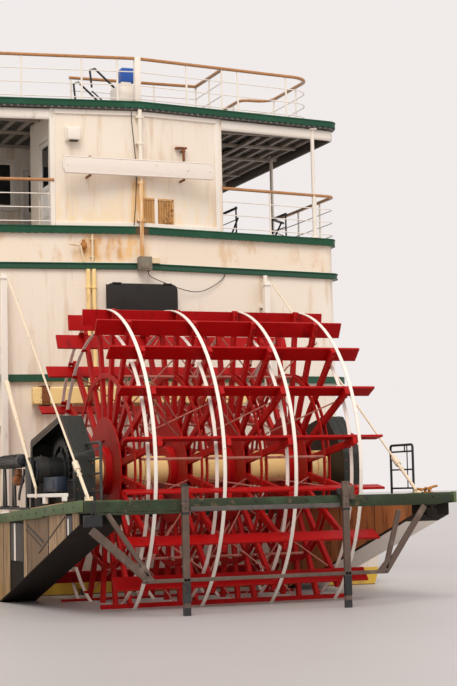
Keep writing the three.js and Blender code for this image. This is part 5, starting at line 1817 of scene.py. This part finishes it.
def chainCase(name, side, forward):
    d = drives
    xi, xo = (side * v for v in d["caseX"])
    skin = d["skin"]
    outer, inner, opening = (caseLine(forward, inset) for inset in (0.0, skin, d["rim"]))
    # the wrap round the edge with the rim of its open side, and the back's two walls with the shaft's hole
    bm = bmesh.new()
    sections = (
        (xi, outer), (xo, outer), (xo, opening), (xo - side * skin, opening), (xo - side * skin, inner),
        (xi + side * skin, inner),
    )
    rings = [[bm.verts.new((x, p.x, p.y)) for p in line] for x, line in sections]
    for a, b in zip(rings, rings[1:]):
        bridge(bm, a, b)
    for ring, x in ((rings[0], xi), (rings[-1], xi + side * skin)):
        hole = [bm.verts.new((x, *onCircle(0.15, 15 * k))) for k in range(24)]
        rims = []
        for loop in (ring, hole):
            for a, b in zip(loop, loop[1:] + loop[:1]):
                rims.append(bm.edges.get((a, b)) or bm.edges.new((a, b)))
        bmesh.ops.triangle_fill(bm, edges=rims, use_beauty=True)
    bmesh.ops.recalc_face_normals(bm, faces=bm.faces[:])
    parts = [meshFrom(bm)]
    # stiffening ribs across the aft face and the top
    for fraction in (0.15, 0.5, 0.85):
        x = xi + (xo - xi) * fraction
        parts.append(pipes([[(x, p.x, p.y) for p in outer if p.y > 1.50]], 0.004, 5))
    piece(f"chainCase{name}", parts, "caseGreen", [f"chain_case_{name.lower()}"])
    bolts = []
    for point, _ in walk(caseLine(forward, d["rim"] * 0.5), 0.075, closed=True):
        bolts.append(screwHead((xo, point.x, point.y), axisX * side, 0.0085, 0.006))
    for z in (1.62, 1.74, 1.86):
        for x in (0.12, 0.88):
            bolts.append(screwHead((xi + (xo - xi) * x, d["aft"] + forward, z), -axisY, 0.0085, 0.006))
    piece(f"chainCaseBolts{name}", bolts, "rust")


def bearing(name, side):
    # pillow block: sole plate, ribbed pedestal, split housing and end cap
    d = drives
    xi, xo = (side * v for v in d["bearingX"])
    x0, x1 = sorted((xi, xo))
    sole = armTop(axle[1] - 0.23) + 0.002
    parts = [box((x0, -10.105, sole), (x1, -9.645, sole + 0.055), 0.005)]
    hood = [onCircle(0.146, -20 + 220 * k / 18) for k in range(19)]
    line = [(-10.005, sole + 0.05), (-9.745, sole + 0.05), (-9.775, 1.70), *hood, (-9.975, 1.70)]
    parts.append(plate([(x0 + 0.004, y, z) for y, z in line], x1 - x0 - 0.008, axisX, 0.003, 1))
    parts.append(hoop(x0 + 0.001, x1 - 0.0005, 0.1415, 0.149, axle, 0.002, 40))
    for t in (35, 80, 125, 170, 215, 260, 305, 350):
        parts.append(screwHead((xo - side * 0.002, *onCircle(0.125, t)), axisX * side, 0.011, 0.007))
    for y in (-10.07, -9.68):
        for x in (x0 + 0.028, x1 - 0.028):
            parts.append(rod((x, y, sole + 0.05), (x, y, sole + 0.085), 0.010, 6))
            parts.append(rod((x, y, sole + 0.055), (x, y, sole + 0.070), 0.017, 6))
    for y in (-10.00, -9.75):
        parts.append(bar((x0 + 0.05, y, 1.78), (x0 + 0.05, y, 1.86), 0.024, 0.03, 0.003))
    parts.append(turned(
        [(0, 0), (0.012, 0), (0.012, 0.012), (0.006, 0.018), (0, 0.018)], ((x0 + x1) / 2, axle[1], 1.946),
        10,
    ))
    piece(f"bearing{name}", parts, "bearingGrey", [f"bearing_{name.lower()}"])


def motorDrive(name, side, forward):
    # electric motor along the arm with its feet, gearbox and base
    d = drives
    x, z, r = side * d["motorX"], d["motorZ"], d["motorRadius"]
    y0, y1 = -9.725 + forward, -8.756 + forward
    long = y1 - y0
    base = armTop(-9.985) + 0.002
    profile = [
        (0, 0), (0.030, 0), (0.030, 0.02), (r * 0.93, 0.03), (r * 0.97, 0.06), (r * 0.97, 0.09),
        (r * 0.90, 0.095), (r * 0.90, long - 0.12), (r * 0.97, long - 0.11), (r * 0.97, long - 0.07),
        (r * 0.88, long - 0.05), (r * 0.5, long - 0.008), (0, long - 0.008),
    ]
    parts = [turned(profile, (x, y0, z), 28, axis=axisY)]
    for k in range(22):
        t = 2 * math.pi * k / 22
        cx, cz = math.cos(t), math.sin(t)
        parts.append(bar(
            (x + r * 0.94 * cx, y0 + 0.11, z + r * 0.94 * cz),
            (x + r * 0.94 * cx, y1 - 0.14, z + r * 0.94 * cz), 0.004, 0.011, 0.0, Vector((cx, 0, cz)),
        ))
    piece(f"motor{name}", parts, "motorBlue", [f"drive_{name.lower()}"])
    x0, x1 = sorted((side * 1.752, side * 1.817))
    parts = [box((x0, -9.98 + forward, base), (x1, -8.78 + forward, base + 0.022), 0.003)]
    for y in (0.56, 0.94):
        yl = axle[1] + y + forward
        for lean in (-0.05, 0.05):
            parts.append(bar(
                ((x0 + x1) / 2, yl + 0.025 + lean, base + 0.02),
                ((x0 + x1) / 2, yl + 0.025 + lean * 0.3, z - 0.06), 0.016, 0.058, 0.003,
            ))
        parts.append(box((x0, yl - 0.05, base + 0.020), (x1, yl + 0.10, base + 0.036), 0.003))
    g0, g1 = sorted((side * 1.752, side * 1.798))
    parts += [
        box((g0 + 0.004, -9.98 + forward, base + 0.02), (g1 - 0.004, -9.94 + forward, z + 0.028), 0.006),
        box((g0 + 0.006, -9.80 + forward, base + 0.02), (g1 - 0.006, -9.76 + forward, z + 0.02), 0.006),
        box((g0 + 0.002, -9.955 + forward, base + 0.12), (g1, -9.79 + forward, z + 0.028), 0.012, 2),
    ]
    curve = [
        (side * 1.785, -9.70 + forward + 0.21 * (1 - math.cos(t)) * 0.5, z - 0.085 - 0.30 * t / math.pi)
        for t in (math.pi * k / 8 for k in range(9))
    ]
    parts.append(pipes([curve], wide=0.05, high=0.018))
    piece(f"driveStand{name}", parts, "blackIron")
    parts = [
        turned(
            [(0, 0), (0.04, 0), (0.055, 0.02), (0.055, 0.10), (0.04, 0.13), (0, 0.13)],
            (x, -9.55 + forward, z - 0.19), 18, axis=axisY,
        ),
        turned(
            [(0, 0), (0.028, 0), (0.028, 0.05), (0, 0.05)], (x, -9.42 + forward, z - 0.19), 14, axis=axisY
        ),
        box((x - 0.022, -9.56 + forward, z - 0.14), (x + 0.022, -9.42 + forward, z - 0.075), 0.006),
    ]
    piece(f"drivePump{name}", parts, "rust")


for name, side, forward in (("Port", -1, 0.0), ("Starboard", 1, drives["forward"])):
    chainCase(name, side, forward)
    bearing(name, side)
    motorDrive(name, side, forward)


def portDriveExtras():
    # switch box, base beam, perforated guard and pipe rail by the port bearing
    piece("driveBox", [box((-1.712, -10.62, 1.600), (-1.615, -10.14, 1.742), 0.008, 2),
                       box((-1.716, -10.50, 1.63), (-1.712, -10.26, 1.71), 0.002)], "netBlue")
    parts = [
        box((-1.80, -11.15, 1.552), (-1.755, -9.86, 1.586), 0.004),
        box((-1.80, -11.15, 1.512), (-1.765, -11.08, 1.555), 0.004),
        box((-1.80, -10.5, 1.49), (-1.765, -10.42, 1.555), 0.004),
    ]
    piece("driveBeam", parts, "trimWhite")
    parts = []
    x = -1.612
    for k in range(13):
        y = -10.86 + 0.0235 * k
        parts.append(bar((x, y, 1.525), (x, y, 1.70), 0.004, 0.004, 0, axisX))
    for k in range(9):
        z = 1.527 + 0.0215 * k
        parts.append(bar((x, -10.86, z), (x, -10.578, z), 0.004, 0.004, 0, axisX))
    for y in (-10.865, -10.573):
        parts.append(box((x - 0.006, y - 0.006, 1.51), (x + 0.006, y + 0.006, 1.712), 0.001))
    parts.append(box((x - 0.006, -10.87, 1.700), (x + 0.006, -10.568, 1.712), 0.001))
    piece("driveMesh", parts, "blackIron")
    x, r = -1.455, 0.014
    top = arcCorners([(-11.18, 1.50), (-11.18, 2.045, 0.04), (-10.706, 2.045, 0.04), (-10.706, 1.50)], 5)
    parts = [pipes([[(x, p.x, p.y) for p in top]], r)]
    for z0, z1 in ((1.765, 1.745), (1.60, 1.585), (1.90, 1.885)):
        parts.append(rod((x, -11.18, z0), (x, -10.706, z1), 0.010, 8))
    for y in (-11.18, -10.706):
        parts.append(turned(
            [(0, 0), (0.034, 0), (0.034, 0.006), (0.018, 0.010), (0, 0.010)], (x, y, armTop(y) + 0.006), 12
        ))
    parts.append(rod((x, -11.18, 1.99), (-1.645, -11.02, 1.93), 0.007, 6))
    piece("armRailPort", parts, "pipeGrey")


portDriveExtras()


tieRod = {
    "headX": 1.56, "head": (-8.2365, 3.92), "eyeX": 1.65, "eye": (-11.435, 1.516),
    "thin": 0.0105, "thick": 0.0165,
    "joint": 0.865, "turnbuckle": (0.855, 0.885), "nut": (0.90, 0.905),
    "strutTop": (-1.600, -8.30, 2.78), "strutFoot": (-1.850, -10.37, 1.645), "strutRadii": (0.030, 0.013),
}


def tieRods():
    # the rods from the king posts, thicker below their turnbuckles, and the port strut
    for name, side in (("Port", -1), ("Starboard", 1)):
        head = Vector((side * tieRod["headX"], *tieRod["head"]))
        eye = Vector((side * tieRod["eyeX"], *tieRod["eye"]))
        low = head.lerp(eye, tieRod["joint"])
        parts = [rod(head, low, tieRod["thin"], 10), rod(low, eye, tieRod["thick"], 10)]
        for stretch, radius, sides in (("turnbuckle", 0.030, 10), ("nut", 0.024, 6)):
            a, b = (head.lerp(eye, share) for share in tieRod[stretch])
            parts.append(rod(a, b, radius, sides))
        parts.append(rod(eye - axisX * 0.035, eye + axisX * 0.035, 0.014, 10))
        for dx in (-0.024, 0.024):
            parts.append(box(
                (eye.x + dx - 0.005, eye.y - 0.035, armTop(eye.y) + 0.006),
                (eye.x + dx + 0.005, eye.y + 0.04, eye.z + 0.035), 0.003,
            ))
        parts.append(box(
            (eye.x - 0.05, eye.y - 0.06, armTop(eye.y) + 0.0062),
            (eye.x + 0.05, eye.y + 0.07, armTop(eye.y) + 0.014), 0.002,
        ))
        piece(f"tieRod{name}", parts, "creamRod", [f"tie_rod_{name.lower()}"])
    a, b = Vector(tieRod["strutTop"]), Vector(tieRod["strutFoot"])
    thick, thin = tieRod["strutRadii"]
    matrix, length = between(a, b, axisX)
    bm = bmesh.new()
    bmesh.ops.create_cone(
        bm, cap_ends=True, segments=14, radius1=thick, radius2=thin, depth=length, matrix=matrix
    )
    piece("driveStrut", [meshFrom(bm), rod(b, b - axisZ * 0.10, 0.009, 8)], "creamRod")


tieRods()


gate = {"x": 1.803, "tube": 0.0125, "aft": -11.062, "front": -10.588, "foot": 1.508, "top": 1.991}


def armGate():
    # tubular gate on the starboard arm
    x, y0, y1, foot, top = (gate[k] for k in ("x", "aft", "front", "foot", "top"))
    frameLine = arcCorners([(y0, foot), (y0, top, 0.03), (y1, top, 0.03), (y1, foot)], 4)
    parts = [
        pipes([[(x, p.x, p.y) for p in frameLine]], gate["tube"], 10),
        rod((x, y0, 1.925), (x, y1, 1.925), 0.009, 8),
        rod((x, y0, 1.745), (x, y1, 1.745), 0.008, 8),
        rod((x, y0, 1.560), (x, y1, 1.560), 0.009, 8),
        rod((x, y0 + 0.12, 1.56), (x, y0 + 0.12, 1.99), 0.006, 8),
        rod((x, y0 + 0.17, 1.925), (x, y0 + 0.17, 1.99), 0.007, 8),
    ]
    for z in (1.58, 1.93):
        parts.append(rod((x, y1, z - 0.03), (x, y1, z + 0.03), 0.0128, 10))
    piece("armGate", parts, "blackIron", ["arm_gate"], body="arm_gate")


armGate()
print("guard, arms and drives made")

# Stern lamp on the ledge
def sternLamp():
    (x0, x1), (z0, z1), (y0, y1) = lampBox["x"], lampBox["z"], lampBox["y"]
    middle = (x0 + x1) / 2
    parts = [
        box((x0 + 0.004, y0 + 0.014, z0 + 0.004), (x1 - 0.004, y1, z1 - 0.004), 0.008, 2),
        box((x0, y0 + 0.010, z0), (x1, y0 + 0.020, z1), 0.004, 2),
        box((x0 + 0.02, y0 + 0.004, z0 + 0.02), (x1 - 0.02, y0 + 0.012, z1 - 0.02), 0.004, 2),
        turned(
            [(0, 0), (0.034, 0), (0.034, 0.010), (0.026, 0.016), (0, 0.016)], (0, -8.183, z1 - 0.016), 16
        ),
        turned(
            [(0, 0), (0.013, 0), (0.013, 0.010), (0.0085, 0.014), (0, 0.014)], (0.060, -8.2043, z0 + 0.002),
            12, axis=-axisZ,
        ),
    ]
    for x in (x0 + 0.013, x1 - 0.013):
        for z in (z0 + 0.013, z1 - 0.013):
            parts.append(screwHead((x, y0 + 0.0101, z), -axisY, 0.006, 0.004))
    parts.append(bar(
        (middle - 0.05, y0 + 0.003, z0 + 0.05), (middle + 0.05, y0 + 0.003, z0 + 0.05), 0.006, 0.006, 0.001,
        axisZ,
    ))
    piece("sternLamp", parts, "lampGrey", ["stern_lamp"])


sternLamp()


def beltFittings():
    # rusty bracket with its bent pipe, the small pale box and the pipes up the belt
    y = stern["apexY"] - 0.001
    back = bulkheadY(-0.65, 0.012)
    parts = [
        turned(
            [(0, 0), (0.034, 0), (0.040, 0.012), (0.030, 0.028), (0.012, 0.040), (0, 0.040)],
            (-0.646, back, 4.323), 16, axis=-axisY,
        ),
        box((-0.665, back - 0.012, 4.25), (-0.625, back + 0.006, 4.40), 0.004),
    ]
    for dx in (-0.03, 0.028):
        parts.append(rod((-0.646 + dx, back - 0.01, 4.345), (-0.646 + dx, back - 0.028, 4.352), 0.008, 8))
    piece("beltBracket", parts, "orangeRust")
    bent = arcCorners([(-0.820, 4.338), (-0.690, 4.332, 0.03), (-0.652, 4.15)], 5)
    parts = [
        pipes([[(p.x, back - 0.03, p.y) for p in bent]], 0.010, 8),
        rod((-0.548, bulkheadY(-0.55, 0.014), 4.14), (-0.546, bulkheadY(-0.55, 0.014), 4.468), 0.013, 10),
    ]
    for z in (4.2, 4.40):
        parts.append(
            box((-0.572, bulkheadY(-0.55, 0.018), z), (-0.522, bulkheadY(-0.55, -0.004), z + 0.014), 0.002)
        )
    parts.append(box((0.108, y - 0.036, 4.139), (0.222, bulkheadY(0.108, -0.002), 4.206), 0.004))
    piece("beltPipes", parts, "creamPipe")
    parts = []
    route = [
        (-0.100, -8.176, 5.87), (-0.098, -8.176, 5.75), (-0.070, -8.178, 5.45), (-0.060, -8.178, 5.34),
        (-0.052, -8.176, 5.08), (-0.066, -8.176, 4.80), (-0.090, -8.178, 4.56),
    ]
    for a, b in zip(route, route[1:]):
        parts.append(rod(a, b, 0.0052, 6))
    piece("housePipeBlack", parts, "blackIron")


beltFittings()
print("lamp, cable and belt fittings made")

# Windows, doors and their frames
openings = {"trim": 0.036, "doorTrim": 0.034, "proud": 0.012, "sash": 0.030, "deep": 0.042, "glass": 0.005}


def onWall(way, face, a0, a1, z0, z1, out0, out1, edge=0.002, rounds=1):
    # a box against a wall whose outer face is at `face`, from out0 to out1 outwards
    d0, d1 = sorted((face + sum(way) * out0, face + sum(way) * out1))
    if abs(way.x) > 0.5:
        return box((d0, a0, z0), (d1, a1, z1), edge, rounds)
    return box((a0, d0, z0), (a1, d1, z1), edge, rounds)


def windowUnit(frames, panes, way, face, a0, a1, z0, z1, mullions=1):
    o = openings
    t, p = o["trim"], o["proud"]
    for low, high, bottom, top in (
        (a0 - t, a1 + t, z1, z1 + t), (a0 - t, a1 + t, z0 - t, z0), (a0 - t, a0, z0, z1),
        (a1, a1 + t, z0, z1),
    ):
        frames.append(onWall(way, face, low, high, bottom, top, 0.0004, p))
    frames.append(
        onWall(way, face, a0 - t - 0.012, a1 + t + 0.012, z0 - t - 0.014, z0 - t, 0.0004, p + 0.014)
    )
    s = o["sash"]
    e = 0.0008
    for low, high, bottom, top in (
        (a0 + e, a1 - e, z1 - s, z1 - e), (a0 + e, a1 - e, z0 + e, z0 + s),
        (a0 + e, a0 + s, z0 + s, z1 - s), (a1 - s, a1 - e, z0 + s, z1 - s),
    ):
        frames.append(onWall(way, face, low, high, bottom, top, -o["deep"], -0.010))
    for k in range(mullions):
        middle = a0 + (a1 - a0) * (k + 1) / (mullions + 1)
        frames.append(
            onWall(way, face, middle - 0.011, middle + 0.011, z0 + s, z1 - s, -o["deep"] + 0.006, -0.014)
        )
    panes.append(
        onWall(way, face, a0 + 0.01, a1 - 0.01, z0 + 0.01, z1 - 0.01, -0.030, -0.030 + o["glass"], 0)
    )


# along the sides: frames, glass, count, first, step, width, wall, deck, sill, head, mullions
sideWindows = (
    ("lowerWindows{}", "lower", 12, -7.15, 1.12, 0.82, 2.578, "main", 0.56, 1.14, 1),
    ("upperWindows{}", "upper", 11, -7.15, 1.12, 0.82, 2.578, "second", 0.42, 0.98, 1),
    ("cabinWindows", "cabin", 7, -5.4, 1.48, 1.0, 1.85, "third", 0.56, 1.12, 2),
    ("pilothouseWindows", "pilothouse", 2, 3.32, 0.64, 0.52, 1.15, "top", 0.4403, 0.9203, 1),
)
# across the ends: frames, glass, way out, wall, middles, half width, deck, sill, head
endWindows = (
    ("lowerWindowsPort", "lower", axisY, 6.26, (-2.06, -1.03, 0, 1.03, 2.06), 0.38, "main", 0.48, 1.08),
    ("upperWindowsPort", "upper", axisY, 5.56, (-2.06, -1.03, 1.25, 2.12), 0.38, "second", 0.48, 1.08),
    ("cabinWindows", "cabin", axisY, 5.2, (-1.15, 0, 1.15), 0.38, "third", 0.56, 1.12),
    ("cabinWindows", "cabin", -axisY, -5.9, (-1.27, 0.30, 1.27), 0.38, "third", 0.56, 1.12),
    ("pilothouseWindows", "pilothouse", axisY, 4.6, (-0.74, 0, 0.74), 0.31, "top", 0.4403, 0.9203),
    ("pilothouseWindows", "pilothouse", -axisY, 2.5, (-0.74, 0, 0.74), 0.31, "top", 0.4403, 0.9203),
)
boardingDoor = {"middle": 5.33, "clear": 0.8, "aft": 5.03, "front": 5.63, "face": 2.510}


def allWindows():
    frames, panes = {}, {}
    for label, glass, count, first, step, width, wall, deck, sill, head, mullions in sideWindows:
        for name, side in (("Port", -1), ("Starboard", 1)):
            f, g = frames.setdefault(label.format(name), []), panes.setdefault(glass, [])
            for k in range(count):
                y, z = first + step * k, deckTop[deck]
                if glass == "lower" and abs(y + width / 2 - boardingDoor["middle"]) < boardingDoor["clear"]:
                    continue
                windowUnit(f, g, axisX * side, side * wall, y, y + width, z + sill, z + head, mullions)
    for label, glass, way, wall, middles, half, deck, sill, head in endWindows:
        for x in middles:
            z = deckTop[deck]
            windowUnit(frames[label], panes[glass], way, wall, x - half, x + half, z + sill, z + head)
    # the window beside the upper front door is narrower, with a post between them
    frame, z = frames["upperWindowsPort"], deckTop["second"]
    windowUnit(frame, panes["upper"], axisY, 5.56, -0.46, 0.220, z + 0.48, z + 1.08)
    frame.append(box((0.221, 5.502, z + 0.481), (0.299, 5.5602, z + 1.079), 0.002))
    for name, parts in frames.items():
        piece(name, parts, "trimWhite")
    for name, parts in panes.items():
        piece(f"{name}Glass", parts, "glass")


def doorLeaf(name, way, face, a0, a1, z0, z1, finish, panes=1, thick=0.030):
    # stiles, rails, a panel below and glass above; face is the leaf's outer face
    parts = []
    s, middle = 0.062, z0 + (z1 - z0) * 0.42
    for low, high in ((a0, a0 + s), (a1 - s, a1)):
        parts.append(onWall(way, face, low, high, z0, z1, -thick, 0, 0.003, 2))
    for low, high in ((z0, z0 + 0.085), (middle, middle + 0.06), (z1 - 0.06, z1)):
        parts.append(onWall(way, face, a0 + s, a1 - s, low, high, -thick + 0.001, -0.001, 0.002))
    parts.append(onWall(
        way, face, a0 + s - 0.004, a1 - s + 0.004, z0 + 0.08, middle + 0.004, -thick + 0.009, -0.009, 0.001
    ))
    parts.append(onWall(
        way, face, a0 + s + 0.03, a1 - s - 0.03, z0 + 0.115, middle - 0.03, -thick + 0.004, -0.004, 0.004
    ))
    for k in range(1, panes):
        split = a0 + s + (a1 - a0 - 2 * s) * k / panes
        parts.append(onWall(
            way, face, split - 0.010, split + 0.010, middle + 0.055, z1 - 0.055, -thick + 0.004, -0.004,
            0.002,
        ))
    glass = onWall(
        way, face, a0 + s - 0.004, a1 - s + 0.004, middle + 0.055, z1 - 0.055, -thick / 2 - 0.0025,
        -thick / 2 + 0.0025, 0,
    )
    label = "".join(word.capitalize() for word in name.split("_"))
    piece(f"leaf{label}", parts, finish, [name], body=name)
    piece(f"glass{label}", [glass], "glass", body=name)
    return label


def doorIron(label, body, parts):
    piece(f"iron{label}", parts, "brass", body=body)


def knobs(way, face, a, z):
    out = sum(way)
    parts = []
    for depth, turn in ((0.0, 1), (-0.030, -1)):
        d = face + out * depth
        here = Vector((d, a, z) if abs(way.x) > 0.5 else (a, d, z))
        parts.append(turned(
            [
                (0, 0), (0.017, 0), (0.017, 0.002), (0.006, 0.004), (0.006, 0.016), (0.014, 0.022),
                (0.015, 0.028), (0.008, 0.034), (0, 0.034),
            ],
            here, 16, axis=way * turn,
        ))
    return parts


def doorFrame(parts, way, face, a0, a1, z0, z1):
    t = openings["doorTrim"]
    strips = ((a0 - t, a1 + t, z1, z1 + t), (a0 - t, a0, z0, z1), (a1, a1 + t, z0, z1))
    for low, high, bottom, top in strips:
        parts.append(onWall(way, face, low, high, bottom, top, 0.0004, 0.011))
    parts.append(onWall(way, face, a0 - t, a1 + t, z0 - 0.016, z0, 0.0004, 0.016))


def allDoors():
    mainZ, secondZ, thirdZ, topZ = (deckTop[k] for k in ("main", "second", "third", "top"))
    frames = []
    # node, way out, leaf's face, its edges, floor, wall's face, frame's edges, finish
    leaves = (
        ("aft_house_door", -axisX, -0.956, (-7.814, -7.396), thirdZ, -0.960, (-7.820, -7.390), "leafWhite"),
        ("pilothouse_door", -axisX, -1.146, (2.806, 3.224), topZ, -1.150, (2.800, 3.230), "doorWood"),
        ("cabin_door", -axisY, -5.896, (-0.754, -0.336), thirdZ, -5.900, (-0.760, -0.330), "leafWhite"),
        ("upper_front_door", axisY, 5.556, (0.306, 0.724), secondZ, 5.560, (0.300, 0.730), "leafWhite"),
    )
    for name, way, face, (a0, a1), floor, wallFace, (f0, f1), finish in leaves:
        label = doorLeaf(name, way, face, a0, a1, floor + 0.036, floor + 1.024, finish)
        doorIron(label, name, knobs(way, face, a1 - 0.031, floor + 0.47))
        doorFrame(frames, way, wallFace, f0, f1, floor + 0.030, floor + 1.030)
    for name, side in (("port", -1), ("starboard", 1)):
        way = axisX * side
        face = boardingDoor["face"]
        label = doorLeaf(
            f"boarding_door_{name}", way, side * face, boardingDoor["aft"], boardingDoor["front"],
            mainZ + 0.010, mainZ + 1.080, "trimGreen", 2, 0.036,
        )
        y, z = 5.13, mainZ + 0.52
        handle = ((-0.004, -0.07), (0.001, -0.07), (0.001, 0.07), (-0.004, 0.07))
        pull = pipes([[(side * (face + d), y, z + h) for d, h in handle]], 0.0040, 8)
        doorIron(label, f"boarding_door_{name}", [pull])
        doorFrame(frames, way, side * 2.578, 5.05, 5.61, mainZ + 0.040, mainZ + 1.060)
    piece("doorFrames", frames, "trimWhite")


allWindows()
allDoors()
print("windows and doors made")

# Bow and deck fittings
drum = {
    "y": 9.3, "ribs": 8, "ribRadii": (0.088, 0.092), "bolts": 0.140, "sockets": 6, "socketRadius": 0.112,
    "profile": [
        (0, 0.0005), (0.168, 0.0005), (0.168, 0.045), (0.150, 0.062), (0.100, 0.085), (0.088, 0.11),
        (0.078, 0.16), (0.074, 0.22), (0.080, 0.27), (0.110, 0.31), (0.128, 0.322), (0.128, 0.372),
        (0.118, 0.384), (0.05, 0.396), (0, 0.398),
    ],
}
bitt = {
    "at": (
        (-1.2, 8.1), (1.2, 8.1), (-0.75, 10.2), (0.75, 10.2), (-2.0, -8.42), (2.0, -8.42)
    ), "apart": 0.095,
    "profile": [
        (0, 0.01), (0.033, 0.01), (0.033, 0.17), (0.040, 0.178), (0.040, 0.19), (0.02, 0.198), (0, 0.198),
    ],
}
strake = {"face": 2.592, "aft": -8.70, "front": 6.4, "heights": (1.20, 0.93), "half": 0.018}


def capstan():
    y, z = drum["y"], deckTop["main"] + 0.0004
    parts = [turned(drum["profile"], (0, y, z), 40)]
    for k in range(drum["ribs"]):
        t = 2 * math.pi * k / drum["ribs"]
        c, s = math.cos(t), math.sin(t)
        (low, high), r = drum["ribRadii"], drum["bolts"]
        rib = bar(
            (low * c, y + low * s, z + 0.10), (high * c, y + high * s, z + 0.29), 0.020, 0.026, 0.004,
            Vector((c, s, 0)),
        )
        parts += [rib, rod((r * c, y + r * s, z + 0.045), (r * c, y + r * s, z + 0.058), 0.009, 6)]
    for k in range(drum["sockets"]):
        t = 2 * math.pi * (k + 0.5) / drum["sockets"]
        px, py = drum["socketRadius"] * math.cos(t), y + drum["socketRadius"] * math.sin(t)
        parts.append(box((px - 0.012, py - 0.012, z + 0.335), (px + 0.012, py + 0.012, z + 0.36), 0.002))
    piece("capstanDrum", parts, "greySteel", replaces=["capstan"])


def bitts():
    # pairs of mooring posts with a cross bar, on the foredeck and beside the stern
    parts = []
    z = deckTop["main"] + 0.0004
    for x, y in bitt["at"]:
        parts.append(box((x - 0.06, y - 0.16, z), (x + 0.06, y + 0.16, z + 0.012), 0.002))
        for dy in (-bitt["apart"], bitt["apart"]):
            parts.append(turned(bitt["profile"], (x, y + dy, z), 20))
        parts.append(rod((x, y - 0.15, z + 0.10), (x, y + 0.15, z + 0.10), 0.012, 10))
    piece("mooringBitts", parts, "blackIron")


def bulwarkCap():
    # a green cap rail along the bulwark's sloping top, taken from its own outline
    thing = cadObject("bow_bulwark")
    bm = bmesh.new()
    bm.from_mesh(thing.data)
    bm.transform(thing.matrix_world)
    bmesh.ops.remove_doubles(bm, verts=bm.verts[:], dist=1e-4)
    tops = {v for f in bm.faces if f.normal.z > 0.9 for v in f.verts}
    outer = []
    for v in tops:
        sides = [f.normal for f in v.link_faces if abs(f.normal.z) < 0.5]
        out = sum((Vector((n.x, n.y)).dot(Vector((v.co.x, v.co.y - 7.5)).normalized()) for n in sides), 0.0)
        if out > 0.3:
            outer.append(v.co.copy())
    bm.free()
    port = sorted((p for p in outer if p.x < -1e-3), key=lambda p: p.y)
    starboard = sorted((p for p in outer if p.x > 1e-3), key=lambda p: -p.y)
    line = []
    for p in port + [p for p in outer if abs(p.x) <= 1e-3][:1] + starboard:
        inward = Vector((-p.x, 7.5 - p.y)).normalized() * 0.022
        q = Vector((p.x + inward.x, p.y + inward.y, p.z + 0.008))
        if not line or (q - line[-1]).length > 0.03:
            line.append(q)
    if len(line) > 3:
        piece("bulwarkCap", [pipes([line], wide=0.062, high=0.020)], "trimGreen")
    print("bulwark cap points:", len(line))


def rubRails():
    # half-round rubbing strakes along the hull's sides
    parts, half = [], strake["half"]
    for x in (-strake["face"], strake["face"]):
        for z in strake["heights"]:
            parts.append(
                box((x - 0.012, strake["aft"], z - half), (x + 0.012, strake["front"], z + half), 0.008, 2)
            )
    piece("rubRails", parts, "trimWhite")


capstan()
bitts()
bulwarkCap()
rubRails()
piece("topLocker", [box((-0.115, -7.90, 6.262), (0.042, -7.76, 6.435), 0.02, 3)], "blue")
piece(
    "topBench",
    [
        box((-0.20, -8.02, 5.975), (0.02, -7.72, 6.195), 0.01, 2),
        box((-0.12, -7.90, 6.19), (0.0, -7.76, 6.265), 0.006),
    ],
    "trimWhite",
)
print("deck fittings made")


def addFloor():
    bm = bmesh.new()
    bmesh.ops.create_grid(bm, x_segments=2, y_segments=2, size=260, matrix=at(0, 0, stern["waterZ"]))
    mesh = meshFrom(bm)
    floor = bpy.data.objects.new("floor", mesh)
    finish, tree, shader = newMaterial("paleFloor")
    soft = put(tree, "TexNoise", {"Vector": objectPoint(tree), "Scale": 0.35, "Detail": 3.0}).outputs["Fac"]
    tree.links.new(blend(tree, soft, (0.43, 0.41, 0.405), (0.49, 0.47, 0.462)), shader.inputs["Base Color"])
    shader.inputs["Roughness"].default_value = 0.5
    mesh.materials.append(finish)
    bpy.context.collection.objects.link(floor)


addFloor()

print("boat dressed")
